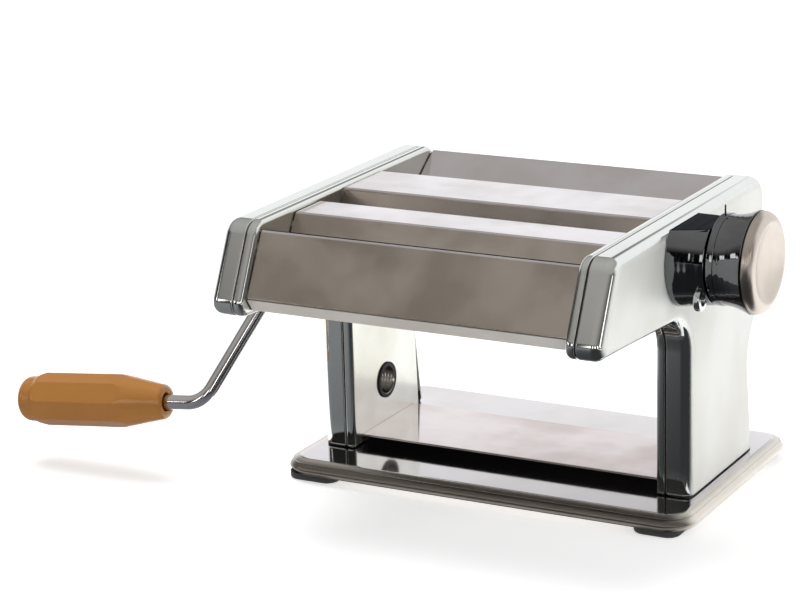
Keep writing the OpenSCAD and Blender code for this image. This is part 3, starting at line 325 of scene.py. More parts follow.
def cornerArc(a, b, c, radius, steps):
    a, b, c = Vector(a), Vector(b), Vector(c)
    if radius == 0:
        return [b]
    u, v = (a - b).normalized(), (c - b).normalized()
    half = u.angle(v) / 2
    centre = b + (u + v).normalized() * radius / math.sin(half)
    first, last = b + u * radius / math.tan(half) - centre, b + v * radius / math.tan(half) - centre
    start = math.atan2(first.y, first.x)
    turn = math.atan2(last.y, last.x) - start
    turn = (turn + math.pi) % (2 * math.pi) - math.pi
    return [centre + radius * Vector((math.cos(start + turn * i / steps), math.sin(start + turn * i / steps)))
            for i in range(steps + 1)]


def insetOutline(corners, radii, inset, steps, tightest=0.3):
    count, moved, rounds = len(corners), [], []
    for i in range(count):
        a, b, c = (Vector(corners[(i + k) % count]) for k in (-1, 0, 1))
        u, v = (b - a).normalized(), (c - b).normalized()
        left, right = Vector((-u.y, u.x)), Vector((-v.y, v.x))
        moved.append(b + inset * (left + right) / (1 + left.dot(right)))
        outer = u.cross(v) > 0
        rounds.append(0 if radii[i] == 0 else max(radii[i] - inset, tightest) if outer else radii[i] + inset)
    points = []
    for i in range(count):
        points += cornerArc(moved[i - 1], moved[i], moved[(i + 1) % count], rounds[i], steps)
    return points


def quarter(radius, steps):
    return [(radius * math.sin(math.pi / 2 * i / steps), radius * (1 - math.cos(math.pi / 2 * i / steps)))
            for i in range(steps + 1)]  # travel along the side, inset from its outline


def turnedLoops(profile, y, z, segments):
    turns = [2 * math.pi * i / segments for i in range(segments)]
    return [[(x, y + radius * math.cos(a), z + radius * math.sin(a)) for a in turns] for x, radius in profile]


def turnedSolid(profile, y, z, segments):
    return lofted(turnedLoops(profile, y, z, segments))


def turnedRing(profile, y, z, segments):
    loops = turnedLoops(profile, y, z, segments)
    return lofted(loops + loops[:1], capped=False)  # the profile comes back to its start


def softCorners(profile, radius, steps=3, share=0.45, smallest=0.01, straight=176):
    points = [Vector(profile[0])]
    for before, at, after in zip(profile, profile[1:], profile[2:]):
        a, b, c = Vector(before), Vector(at), Vector(after)
        room = min(radius, share * (b - a).length, share * (c - b).length)
        u, v = (a - b).normalized(), (c - b).normalized()
        if room < smallest or u.angle(v) > math.radians(straight):
            points.append(b)
            continue
        p, q = b + u * room, b + v * room
        for i in range(steps + 1):
            t = i / steps
            points.append(p * (1 - t) ** 2 + 2 * t * (1 - t) * b + q * t * t)
    points.append(Vector(profile[-1]))
    return [tuple(p) for p in points]


# sides: pressed frame inside, deep drawn cover outside, a dark joint between them; corners as (y, z)
side = {
    "front": [(-118.5, 139), (-138, 99.7), (-39.3, 94.2), (-39.3, -2)],
    "legBack": {"Cover": [(40.5, -2), (31.5, 61)], "Frame": [(27.5, -2), (24.5, 61)]},
    "rear": [(52, 84), (50, 139)],
    "radii": [9, 6, 18, 0, 0, 25, 25, 10], "arcSteps": 16,
    "innerX": 76.5, "seamX": 80.8, "coverX": 81.6, "outerX": 93.5,
    "coverEdge": 5.5, "coverSteps": 10, "coverTurn": 4, "frameEdge": 2.4, "frameSteps": 6, "frameTurn": 3,
    "seamEdge": 0.6, "seamSteps": 4, "sheet": 1.2, "legFoot": 10.7, "footRoll": 0.9,
}
joint = {"lap": 0.6, "sunk": 0.4, "deep": 1.4}
seal = {"in": 1.2, "heel": 2.6, "dip": 0.2, "up": 0.4, "corner": 1.5}
base = {"wide": 205, "deep": 132, "low": 3, "high": 10, "corner": 14, "wall": 1.2, "wallGap": 0.6, "hem": 0.2,
        "lowRoll": 1.7, "rollMid": 0.855, "rollSwing": 0.495, "rollSteps": 8, "land": 0.3,
        "pillow": 6.4, "pillowSteps": 14, "flatFrom": 0.985}
pads = {"wide": {"left": 25, "right": 22}, "x": {"left": -87.5, "right": 85.6}, "deep": 20, "corner": 6, "y": 54,
        "high": 3.4, "roll": 1.2, "rollSteps": 5}


def sideCorners(part):
    return side["front"] + side["legBack"][part] + side["rear"]


def sideShell(name, part, profile, mirror, finish):
    bm = lofted([[(-x if mirror else x, p.x, p.y) for p in
                  insetOutline(sideCorners(part), side["radii"], inset, side["arcSteps"])] for x, inset in profile])
    tidyNormals(bm)
    rims = cutAbove(bm, (0, 0, side["legFoot"]), (0, 0, -1))
    if finish != "rubber":  # the foot of the leg is turned in a little where it meets the base
        bmesh.ops.bevel(bm, geom=rims, offset=side["footRoll"] * mm, segments=4, affect="EDGES", profile=0.5)
    return makeObject(name, bm, finish)


def slabLoop(wide, deep, corner, z, x=0, y=0, steps=12):
    w, d = wide / 2, deep / 2
    points = []
    box = [(-w, -d), (w, -d), (w, d), (-w, d)]
    for i in range(4):
        points += cornerArc(box[i - 1], box[i], box[(i + 1) % 4], corner, steps)
    return [(x + p.x, y + p.y, z) for p in points]


def slab(profile, wide, deep, corner, x=0, y=0, tightest=0.5):
    return lofted([slabLoop(wide - 2 * inset, deep - 2 * inset, max(corner - inset, tightest), z, x, y)
                   for inset, z in profile])


lip = quarter(side["seamEdge"], side["seamSteps"])
coverProfile = [(side["coverX"] + side["coverTurn"], side["sheet"]), (side["coverX"], side["sheet"])]
coverProfile += [(side["coverX"] + side["seamEdge"] - along, inset) for along, inset in reversed(lip)]
coverProfile += [(side["outerX"] - side["coverEdge"] + along, inset)
                 for along, inset in quarter(side["coverEdge"], side["coverSteps"])]
frameProfile = [(side["innerX"] + side["frameEdge"] - along, inset)
                for along, inset in reversed(quarter(side["frameEdge"], side["frameSteps"]))]
frameProfile += [(side["seamX"] - side["seamEdge"] + along, inset) for along, inset in lip]
frameProfile += [(side["seamX"], side["sheet"]), (side["seamX"] - side["frameTurn"], side["sheet"])]
jointTop, jointRoot = side["sheet"] - joint["sunk"], side["sheet"] + joint["deep"]
jointIn, jointOut = side["seamX"] - joint["lap"], side["coverX"] + joint["lap"]
jointProfile = [(jointIn, jointRoot), (jointIn, jointTop), (jointOut, jointTop), (jointOut, jointRoot)]

# clamp hole through the left leg, lined by a rubber grommet with a steel thread in it
grommet = {"y": -6.5, "z": 34.8, "bore": 6.6, "wall": 7.8, "lip": 8.7, "lipThick": 0.8, "inX": -75.7, "outX": -94.3,
           "knifeX": (-60, -110), "squeeze": 0.1, "sink": 0.2, "turns": 22, "threadDeep": 0.35, "threadEnd": 0.6,
           "threadSkin": 0.05, "round": 0.3, "segments": 48}
holeR = grommet["wall"] - grommet["squeeze"]
knife = makeObject("holeKnife", turnedSolid([(x, holeR) for x in grommet["knifeX"]], grommet["y"], grommet["z"],
                                            grommet["segments"]), "rubber")
for mirror, label in ((True, "left"), (False, "right")):
    cover = sideShell(label + "Cover", "Cover", coverProfile, mirror, "sides")
    liner = sideShell(label + "Frame", "Frame", frameProfile, mirror, "frames")
    gasket = sideShell(label + "Joint", "Frame", jointProfile, mirror, "rubber")
    if mirror:
        for piece in (cover, liner, gasket):
            cutHole(piece, knife)
    fit(cover, "frame", "chrome", label + "_cover")
    fit(liner, "frame", "chrome", label + "_frame")
    fit(gasket, "frame", "dark")
    for part, x0, x1 in (("Cover", side["coverX"], side["outerX"] - seal["in"]),
                         ("Frame", side["innerX"] + seal["in"], side["seamX"])):
        toe, heel = sideCorners(part)[3][0] + seal["in"], sideCorners(part)[4][0] - seal["heel"]
        strip = slab([(0, base["high"] - seal["dip"]), (0, side["legFoot"] + seal["up"])], x1 - x0, heel - toe,
                     seal["corner"], (-1 if mirror else 1) * (x0 + x1) / 2, (toe + heel) / 2)
        fit(makeObject(label + part + "FootSeal", strip, "rubber"), "frame", "dark")
bpy.data.objects.remove(knife)
bore, inX, outX, thick = (grommet[key] for key in ("bore", "inX", "outX", "lipThick"))
hold = grommet["wall"] - grommet["sink"]
threadFrom, threadLong = outX + grommet["threadEnd"], inX - outX - 2 * grommet["threadEnd"]
bushProfile = [(threadFrom + threadLong * i / grommet["turns"], bore - (grommet["threadDeep"] if i % 2 else 0))
               for i in range(1, grommet["turns"])]  # thread for the clamp, as rings
bushProfile += [(inX, bore), (inX, grommet["lip"]), (inX - thick, grommet["lip"]), (inX - thick, hold),
                (outX + thick, hold), (outX + thick, grommet["lip"]), (outX, grommet["lip"]), (outX, bore)]
bush = makeObject("clampGrommet", turnedRing(softCorners(bushProfile, grommet["round"]), grommet["y"], grommet["z"],
                                             grommet["segments"]), "rubber")
threadR = bore + grommet["threadSkin"]
secondFinish(bush, "rollers", lambda face: math.hypot(face.center.y / mm - grommet["y"],
                                                      face.center.z / mm - grommet["z"]) < threadR)
fit(bush, "frame", "rubber", "clamp_grommet")
print("sides done")


# base: a chromed tray with a rolled skirt, on four rubber pads
innerInset, rollTop = base["wall"] + base["wallGap"], base["low"] + base["lowRoll"] + base["land"]
skirt = [(innerInset, base["high"] - base["wall"]), (innerInset, base["low"] + base["hem"])]
for i in range(base["rollSteps"] + 1):  # small roll along the lower edge
    swell = math.cos(math.pi * i / base["rollSteps"])
    skirt.append((base["lowRoll"] * (base["rollMid"] + base["rollSwing"] * swell),
                  base["low"] + base["lowRoll"] * (1 - swell) / 2))
for i in range(1, base["pillowSteps"] + 1):  # wide pillow edge up to the flat top
    a = math.pi / 2 * i / base["pillowSteps"]
    skirt.append((base["pillow"] * (1 - math.cos(a)), rollTop + (base["high"] - rollTop) * math.sin(a)))
tray = makeObject("basePlate", slab(skirt, base["wide"], base["deep"], base["corner"]), "base", sharpDeg=60)
secondFinish(tray, "skirt", lambda face: face.normal.z < base["flatFrom"])  # the rolled edge is scuffed, and its forward faces take a painted dark reflection
fit(tray, "frame", "chrome", "base_plate")
for lr in ("left", "right"):
    for sy, fb in ((-1, "front"), (1, "rear")):
        roll = [(inset, pads["roll"] - along) for along, inset in reversed(quarter(pads["roll"], pads["rollSteps"]))]
        foot = slab(roll + [(0, pads["high"])], pads["wide"][lr], pads["deep"], pads["corner"],
                    pads["x"][lr], sy * pads["y"])
        fit(makeObject(fb + lr.capitalize() + "Foot", foot, "rubber"), "frame", "rubber", "_".join(("foot", fb, lr)))
print("base done")


# folded sheet: floor pan, front panel, feed guides and rear panel, each a path in (y, z) drawn out along x;
# faces turned below "steep" take the "upright" finish, as painted shade on the pan's band and the guides' flanges and
# as painted light on the front panel's lip; those turned above "rim" take the bright guide finish as a painted
# highlight
sheets = {
    # the pan's upright band takes the dark edge finish as painted shade
    "floorPan": {"node": "floor_pan", "path": [(-32, 10), (-32, 15), (21, 15), (21, 10)], "thick": -0.6, "bend": 0.9,
                 "half": 76.4, "finish": "pan", "slot": "chrome", "upright": "edges", "steep": 0.4},
    "frontPanel": {"node": "front_panel", "thick": 1, "bend": 1.5, "half": 75.9, "finish": "panels", "slot": "steel",
                   "path": [(-110.3, 128.2), (-115.5, 136.3), (-130.8, 107.6), (-126.6, 101.6)],
                   # painted light: the lower lip takes the paler lip finish
                   "upright": "lip", "steep": -0.3, "rim": 0.62},
    "frontGuide": {"node": "front_guide", "thick": -1, "bend": 1.8, "half": 75.9, "finish": "guides", "slot": "steel",
                   "path": [(-91.5, 128.2), (-86.5, 136.3), (-63.7, 136.3), (-60.4, 128.2)],
                   # painted shade: the sloping flanges take the darker panel finish
                   "upright": "panels", "steep": 0.7},
    "rearGuide": {"node": "rear_guide", "thick": -1, "bend": 1.8, "half": 75.9, "finish": "guides", "slot": "steel",
                  "path": [(-46, 128.2), (-42.8, 137.6), (-6.8, 137.6), (2.5, 128.2)],
                  # painted shade: the sloping flanges take the darker panel finish
                  "upright": "panels", "steep": 0.7},
    "rearPanel": {"node": "rear_panel", "thick": -1, "bend": 1.8, "half": 75.9, "finish": "guides", "slot": "steel",
                  "path": [(31.4, 126.4), (45.6, 136.3), (48.5, 136.3), (48.5, 97)]},
}


def sheetSection(path, thick, bend, steps=7):
    sideways = 1 if thick > 0 else -1
    last = len(path) - 1
    moved = []
    for i in range(len(path)):
        u = (Vector(path[max(i, 1)]) - Vector(path[max(i, 1) - 1])).normalized()
        v = (Vector(path[min(i + 1, last)]) - Vector(path[min(i, last - 1)])).normalized()
        n1, n2 = sideways * Vector((-u.y, u.x)), sideways * Vector((-v.y, v.x))
        moved.append(Vector(path[i]) + abs(thick) * (n1 + n2) / (1 + n1.dot(n2)))
    outer, under = [Vector(path[0])], [moved[0]]
    for i in range(1, last):
        outer += cornerArc(path[i - 1], path[i], path[i + 1], bend, steps)
        under += cornerArc(moved[i - 1], moved[i], moved[i + 1], bend - abs(thick), steps)
    return outer + [Vector(path[-1]), moved[-1]] + under[::-1]


for name, s in sheets.items():
    section = sheetSection(s["path"], s["thick"], s["bend"])
    sheet = lofted([[(x, p.x, p.y) for p in section] for x in (-s["half"], s["half"])])
    piece = makeObject(name, sheet, s["finish"], sharpDeg=30)
    # painted shade and painted light: steep faces take the second finish named in "upright"
    if "upright" in s:
        secondFinish(piece, s["upright"], lambda face: face.normal.z < s["steep"] and face.normal.y < 0.5)
    # painted highlight: faces along the top fold take the bright guide finish
    if "rim" in s:
        secondFinish(piece, "guides", lambda face: face.normal.z > s["rim"], index=2)
    fit(piece, "frame", s["slot"], s["node"])
print("sheets done")


# rollers and cutters: turned shafts, each driven one with a slotted socket for the crank; axes as (y, z)
rolls = {
    "half": 75, "journal": 4, "stub": 6.6, "chamfer": 0.6, "segments": 96, "bladeRound": 0.12, "bladeSink": 0.2,
    "smooth": {"drive": (-39.9, 111.5), "mate": (-66.1, 111.5), "bulk": 11.5},
    "narrow": {"drive": (-112, 114), "mate": (-90, 114), "ring": 12, "bulk": 9.6, "wide": 1.6, "pitch": 4,
               "count": 36, "start": -72.8, "mateShift": 2},
    "wide": {"drive": (29, 113), "mate": (7, 113), "ring": 12, "bulk": 9.6, "wide": 6.6, "pitch": 14,
             "count": 9, "start": -66.3, "mateShift": 7},
}
sockets = {"outer": 6.5, "bore": 3.55, "mouthX": -95, "floorX": -82.8, "backX": -81, "ringFit": 8.5, "flange": 10.5,
           "flangeFall": 0.3, "ringHole": 6.55, "ringIn": -92.4, "coverX": -93.5, "ringOut": -94.7, "ringRound": 0.35,
           "segments": 64, "slotTurn": 30.7, "slotHalf": 1.2, "slotReach": 9, "slotOut": 1, "slotDeep": 4.5}
slotTurn = math.radians(sockets["slotTurn"])
across = Vector((0, math.cos(slotTurn), -math.sin(slotTurn)))  # square to the plane of the crank


def ringRow(name):
    # Geometry Nodes: one ring set out along the shaft at an even pitch, then made into plain faces
    group = bpy.data.node_groups.new(name, "GeometryNodeTree")
    for label, kind in (("Ring", "NodeSocketObject"), ("Count", "NodeSocketInt"), ("Start", "NodeSocketVector"),
                        ("Pitch", "NodeSocketVector"), ("Finish", "NodeSocketMaterial")):
        group.interface.new_socket(label, in_out="INPUT", socket_type=kind)
    group.interface.new_socket("Geometry", in_out="OUTPUT", socket_type="NodeSocketGeometry")
    given = addNode(group, "NodeGroupInput").outputs
    row = addNode(group, "GeometryNodeMeshLine", {"Count": given["Count"], "Start Location": given["Start"],
                                                  "Offset": given["Pitch"]})
    ring = addNode(group, "GeometryNodeObjectInfo", {"Object": given["Ring"]}, transform_space="ORIGINAL")
    copies = addNode(group, "GeometryNodeInstanceOnPoints", {"Points": row, "Instance": ring.outputs["Geometry"]})
    plain = addNode(group, "GeometryNodeRealizeInstances", {"Geometry": copies})
    painted = addNode(group, "GeometryNodeSetMaterial", {"Geometry": plain, "Material": given["Finish"]})
    addNode(group, "NodeGroupOutput", {"Geometry": painted})
    return group


rowGroup = ringRow("RingRow")


def setOut(name, part, count, start, pitch, finish):
    holder = bpy.data.objects.new(name, bpy.data.meshes.new(name))
    bpy.context.scene.collection.objects.link(holder)
    modifier = holder.modifiers.new("row", "NODES")
    modifier.node_group = rowGroup
    values = {"Ring": part, "Count": count, "Start": Vector(start) * mm, "Pitch": Vector((pitch, 0, 0)) * mm,
              "Finish": finishes[finish]}
    for item in rowGroup.interface.items_tree:
        if item.in_out == "INPUT":
            modifier[item.identifier] = values[item.name]
    bpy.context.view_layer.update()
    bakeModifiers(holder)
    bpy.data.objects.remove(part)
    return holder


def firstRing(kind, role):
    return rolls[kind]["start"] + (rolls[kind]["mateShift"] if role == "mate" else 0)


for kind in ("smooth", "narrow", "wide"):
    r = rolls[kind]
    for role in ("drive", "mate"):
        y, z = r[role]
        body, half, journal = kind + "_" + role, rolls["half"], rolls["journal"]
        tip = half + rolls["stub"]
        shape = [(-tip, pole), (-tip, journal)]
        if role == "drive":
            shape = [(sockets["floorX"], pole), (sockets["floorX"], sockets["bore"]),
                     (sockets["mouthX"], sockets["bore"]), (sockets["mouthX"], sockets["outer"]),
                     (sockets["backX"], sockets["outer"]), (sockets["backX"], journal)]
        shape += [(-half, journal), (-half, r["bulk"]), (half, r["bulk"]), (half, journal), (tip, journal), (tip, pole)]
        node = body + ("_roller" if kind == "smooth" else "_cutter")
        core = makeObject(node.title().replace("_", ""),
                          turnedSolid(softCorners(shape, rolls["chamfer"]), y, z, rolls["segments"]), "rollers")
        if role == "drive":
            w, h = sockets["slotHalf"], sockets["slotReach"]
            slot = makeObject("slot", lofted([[(x, y + u * across.y - v * across.z, z + u * across.z + v * across.y)
                                               for u, v in ((-w, -h), (w, -h), (w, h), (-w, h))]
                                              for x in (sockets["mouthX"] - sockets["slotOut"],
                                                        sockets["mouthX"] + sockets["slotDeep"])]), "rollers")
            cutHole(core, slot)
            bpy.data.objects.remove(slot)
        fit(core, body, "steel", node)
        if kind == "smooth":
            continue
        root = r["bulk"] - rolls["bladeSink"]
        blade = softCorners([(0, root), (0, r["ring"]), (r["wide"], r["ring"]), (r["wide"], root)],
                            rolls["bladeRound"], 2)
        ring = makeObject("ring", turnedRing(blade, 0, 0, rolls["segments"]), "rollers")
        fit(setOut(kind.capitalize() + role.capitalize() + "Rings", ring, r["count"], (firstRing(kind, role), y, z),
                   r["pitch"], "rollers"), body, "steel")
print("rollers done")

# crank sockets in the left cover
ringShape = [(sockets["ringIn"], sockets["ringHole"]), (sockets["ringIn"], sockets["ringFit"]),
             (sockets["coverX"], sockets["ringFit"]), (sockets["coverX"], sockets["flange"]),
             (sockets["ringOut"], sockets["flange"] - sockets["flangeFall"]), (sockets["ringOut"], sockets["ringHole"])]
for kind in ("narrow", "smooth", "wide"):
    ring = turnedRing(softCorners(ringShape, sockets["ringRound"]), *rolls[kind]["drive"], sockets["segments"])
    fit(makeObject(kind + "SocketRing", ring, "fittings"), "frame", "chrome", kind + "_socket_ring")
print("sockets done")


# thickness knob: coned boss with a milled flat, waisted knob with a flared rim, champagne cap, eyelet screw
boss = {"x": 93.5, "r": 22.4, "endX": 110.2, "endR": 20, "bore": 12, "round": 0.7, "flatZ": 139.3, "flatTilt": -3,
        "flatRound": 0.9, "flatFrom": 0.97}
knob = {"y": -48, "z": 124.6, "segments": 128, "sharp": 28, "bodyX": 111.1, "bodyR": 20, "lip": 3, "waist": 19.6,
        "rim": 22.4, "endX": 127.3, "hubBore": 7.2, "hub": 4, "cave": 8.4, "round": 0.4, "flareSteps": 14,
        "flareEnd": 0.6, "rimRound": ((0.25, 0.12), (0, 0.6))}
cap = {"thick": 5.4, "dish": 4.0, "crest": 17.4, "grooveR": 1.4, "groove": ((0.45, 1.4), (0.5, 0.25)), "edge": 0.15,
       "edgeX": 0.6, "shoulderSteps": 12, "bowlSteps": 24, "bowl": 2.2, "sharp": 40}
screw = {"y": -65.2, "z": 110.6, "x": 106.4, "endX": 109.4, "r": 5, "hole": 2.1, "deep": 2.5, "round": 0.9,
         "segments": 48}
tick = {"x": 112.3, "y": -48, "low": 142, "high": 148.6, "r": 0.34, "foot": 1.3, "point": 0.4, "pointHigh": 0.4,
        "segments": 16}

bossShape = [(boss["x"], boss["bore"]), (boss["x"], boss["r"]), (boss["endX"], boss["endR"]),
             (boss["endX"], boss["bore"])]
bossMesh = turnedRing(softCorners(bossShape, boss["round"], 5), knob["y"], knob["z"], knob["segments"])
tidyNormals(bossMesh)
tilt = math.radians(boss["flatTilt"])
rims = cutAbove(bossMesh, (boss["x"], 0, boss["flatZ"]), (math.sin(tilt), 0, math.cos(tilt)))
rims = [e for e in rims if abs((e.verts[0].co - e.verts[1].co).normalized().x) > 0.7]  # the long edges alone
bmesh.ops.bevel(bossMesh, geom=rims, offset=boss["flatRound"] * mm, segments=6, affect="EDGES", profile=0.5)
bossPiece = makeObject("regulatorBoss", bossMesh, "knob", knob["sharp"])
secondFinish(bossPiece, "flat", lambda face: face.normal.z > boss["flatFrom"])  # plainer than the turned side, and darker as a painted reflection
fit(bossPiece, "frame", "chrome", "regulator_boss")

hubX, flareX = knob["bodyX"] + knob["hub"], knob["bodyX"] + knob["lip"]
bodyShape = softCorners([(hubX, knob["hubBore"]), (knob["bodyX"], knob["hubBore"]), (knob["bodyX"], knob["bodyR"]),
                         (flareX, knob["bodyR"]), (flareX, knob["waist"])], knob["round"])
for i in range(1, knob["flareSteps"] + 1):
    t = i / knob["flareSteps"]
    bodyShape.append((flareX + (knob["endX"] - knob["flareEnd"] - flareX) * t,
                      knob["waist"] + (knob["rim"] - knob["waist"]) * t * t))
bodyShape += [(knob["endX"] - back, knob["rim"] - down) for back, down in knob["rimRound"]]
bodyShape += [(knob["endX"], knob["cave"]), (hubX, knob["cave"])]
fit(makeObject("knobBody", turnedRing(bodyShape, knob["y"], knob["z"], knob["segments"]), "knob", knob["sharp"]),
    "knob", "chrome", "knob_body")

capShape = [(knob["endX"], pole), (knob["endX"], knob["rim"] - cap["grooveR"])]
capShape += [(knob["endX"] + out, knob["rim"] - down) for out, down in cap["groove"]]  # dark line beside the knob
for i in range(1, cap["shoulderSteps"] + 1):  # round shoulder up to the crest of the rim
    a = math.pi / 2 * i / cap["shoulderSteps"]
    capShape.append((knob["endX"] + cap["edgeX"] + (cap["thick"] - cap["edgeX"]) * math.sin(a),
                     cap["crest"] + (knob["rim"] - cap["edge"] - cap["crest"]) * math.cos(a)))
for i in range(1, cap["bowlSteps"] + 1):  # bowl from the crest to the middle
    share = 1 - i / cap["bowlSteps"]
    sink = 1 - share ** cap["bowl"]
    capShape.append((knob["endX"] + cap["thick"] - cap["dish"] * sink, max(cap["crest"] * share, pole)))
fit(makeObject("knobCap", turnedSolid(capShape, knob["y"], knob["z"], knob["segments"]), "cap", cap["sharp"]),
    "knob", "champagne", "knob_cap")

floorX = screw["endX"] - screw["deep"]
screwShape = [(floorX, pole), (floorX, screw["hole"]), (screw["endX"], screw["hole"]), (screw["endX"], screw["r"]),
              (screw["x"], screw["r"]), (screw["x"], pole)]
fit(makeObject("bossScrew", turnedSolid(softCorners(screwShape, screw["round"], 5), screw["y"], screw["z"],
                                        screw["segments"]), "fittings"), "frame", "chrome", "boss_screw")
tickTurns = [2 * math.pi * i / tick["segments"] for i in range(tick["segments"])]
tickLoops = [[(tick["x"] + tick["r"] * share * math.cos(a), tick["y"] + tick["r"] * share * math.sin(a), z)
              for a in tickTurns]
             for z, share in ((tick["low"], tick["foot"]), (tick["high"] - tick["pointHigh"], 1),
                              (tick["high"], tick["point"]))]
fit(makeObject("indexTick", lofted(tickLoops), "mark"), "knob", "dark", "index_pin")
print("knob done")


# crank: one bent rod, laid out flat as (out, along) and then swung to its rest; a loose moulded grip on its end
crank = {"r": 3.5, "inside": 9.7, "exit": 7.0, "corner": (38.476, 84.637), "droop": 6.0, "swing": 30.7,
         "bends": (7, 13), "collar": 83.2, "startX": -93.5, "y": -39.9, "z": 111.5, "segments": 32, "bendSteps": 14}
swing, droop = math.radians(crank["swing"]), math.radians(crank["droop"])


def crankPoint(p):
    return Vector((crank["startX"] - p.x, crank["y"] - p.y * math.sin(swing), crank["z"] - p.y * math.cos(swing)))


corner = Vector(crank["corner"])
gripWay = Vector((math.cos(droop), math.sin(droop)))
turns = [Vector((-crank["inside"], 0)), Vector((crank["exit"], 0)), corner, corner + gripWay * crank["collar"]]
line = [turns[0]]
for i in (1, 2):
    line += cornerArc(turns[i - 1], turns[i], turns[i + 1], crank["bends"][i - 1], crank["bendSteps"])
line.append(turns[3])
points = [crankPoint(p) for p in line]
rodTurns = [2 * math.pi * k / crank["segments"] for k in range(crank["segments"])]
loops = []
for i, p in enumerate(points):
    along = (points[min(i + 1, len(points) - 1)] - points[max(i - 1, 0)]).normalized()
    normal = across.cross(along).normalized()
    loops.append([p + crank["r"] * (math.cos(a) * across + math.sin(a) * normal) for a in rodTurns])
fit(makeObject("crankRod", lofted(loops), "rod"), "crank", "chrome", "crank_rod")

# all lengths run from the neck of the grip to its end
grip = {"start": 19.2, "length": 80, "mouth": 4.4, "mouthDeep": 5, "mouthRound": 0.5, "neck": 8.4, "neckRound": 2.4,
        "taperEnd": 27.5, "taperR": 13.4, "flats": 12.6, "flatCount": 8, "blend": 0.22, "shoulder": 4.6,
        "shoulderR": 12.9, "domeStart": 70.2, "domeR": 11.0, "domeFall": 0.25, "domeFlat": 3.6, "domeStep": 0.02,
        "domeCurve": 2.4, "centre": 0.02, "segments": 96, "turn": -0.34, "sharp": 22}
gripFrom = crankPoint(corner)
gripAxis = (crankPoint(corner + gripWay) - gripFrom).normalized()
gripUp = gripAxis.cross(across).normalized()
shoulderStart, domeRound = grip["domeStart"] - grip["shoulder"], grip["domeStart"] + grip["domeFlat"]


def gripRound(s):
    # revolved outline of the moulding, before the flats are taken off it
    if s < grip["neckRound"]:
        back = 1 - s / grip["neckRound"]
        return grip["neck"] - grip["neckRound"] * (1 - math.sqrt(max(0, 1 - back * back)))
    if s < shoulderStart:
        return grip["neck"] + (grip["taperR"] - grip["neck"]) * (s - grip["neckRound"]) / (grip["taperEnd"]
                                                                                        - grip["neckRound"])
    if s < grip["domeStart"]:
        t = (s - grip["domeStart"] + grip["shoulder"]) / grip["shoulder"]
        return grip["shoulderR"] + (grip["domeR"] + grip["domeFall"] - grip["shoulderR"]) * t
    if s < domeRound:
        return grip["domeR"] - grip["domeFall"] * (s - grip["domeStart"]) / grip["domeFlat"]
    t = (s - domeRound) / (grip["length"] - domeRound)
    return (grip["domeR"] - grip["domeFall"]) * math.sqrt(max(0, 1 - t ** grip["domeCurve"]))


def gripFlat(angle):
    step = 2 * math.pi / grip["flatCount"]
    return grip["flats"] * math.cos(step / 2) / math.cos((angle % step) - step / 2)


def softMin(a, b, blend):
    h = max(blend - abs(a - b), 0) / blend
    return min(a, b) - h * h * blend / 4


def gripLoop(s, fixed=None):
    loop = []
    for k in range(grip["segments"]):
        angle = 2 * math.pi * k / grip["segments"]
        radius = fixed if fixed is not None else softMin(gripRound(s), gripFlat(angle), grip["blend"])
        ray = math.cos(angle + grip["turn"]) * across + math.sin(angle + grip["turn"]) * gripUp
        loop.append(gripFrom + gripAxis * (grip["start"] + s) + ray * max(radius, grip["centre"]))
    return loop


# stations along the grip: round neck, taper, plain middle, shoulder, dome
neck, taper, dome = grip["neckRound"], grip["taperEnd"], grip["domeStart"]
stops = [neck * (1 - math.cos(math.pi / 2 * i / 6)) for i in range(7)]
stops += [neck + (taper - neck) * i / 40 for i in range(1, 41)]
stops += [taper + 2 + (shoulderStart - taper - 4) * i / 6 for i in range(7)]
stops += [shoulderStart + grip["shoulder"] * i / 24 for i in range(25)]
stops += [dome + grip["domeStep"], dome + grip["domeFlat"] / 2, domeRound]
stops += [domeRound + (grip["length"] - domeRound) * math.sin(math.pi / 2 * i / 12) for i in range(1, 13)]
loops = [gripLoop(grip["mouthDeep"], grip["centre"]), gripLoop(grip["mouthDeep"], grip["mouth"]),
         gripLoop(grip["mouthRound"], grip["mouth"]), gripLoop(0.0, grip["mouth"] + grip["mouthRound"])]
loops += [gripLoop(s) for s in stops]
fit(makeObject("gripBody", lofted(loops), "grip", grip["sharp"]), "grip", "grip", "grip_body", "grip_cap")
print("crank done")


# teeth of the combs: a finger between every two rings, thinner towards its tip
combs = {"lean": 35, "tipGap": 0.5, "rootR": 12.4, "thick": 0.9, "tooth": {"narrow": 1.1, "wide": 5.2},
         "tip": 0.55, "neck": 0.9, "neckUp": 0.5, "sharp": 30}


def combTooth(lean, wide, tipR):
    way = math.radians(lean - 90)
    out, flat = Vector((math.cos(way), math.sin(way))), Vector((-math.sin(way), math.cos(way)))
    loops = []
    for reach, share in ((tipR, combs["tip"]), (tipR + combs["neckUp"], combs["neck"]), (combs["rootR"], 1)):
        mid, w, t = out * reach, wide / 2 * share, flat * combs["thick"] / 2 * share
        loops.append([(x, *(mid + up * t)) for x, up in ((-w, -1), (w, -1), (w, 1), (-w, 1))])
    return lofted(loops)


for kind in ("narrow", "wide"):
    r = rolls[kind]
    for role in ("drive", "mate"):
        y, z = r[role]
        front = (role == "drive") == (kind == "narrow")
        tooth = makeObject("tooth", combTooth(combs["lean"] * (-1 if front else 1), combs["tooth"][kind],
                                              r["bulk"] + combs["tipGap"]), "inside", combs["sharp"])
        between = firstRing(kind, role) + (r["wide"] + r["pitch"]) / 2
        fit(setOut(kind.capitalize() + role.capitalize() + "CombTeeth", tooth, r["count"] - 1, (between, y, z),
                   r["pitch"], "inside"), "frame", "steel")
print("combs done")

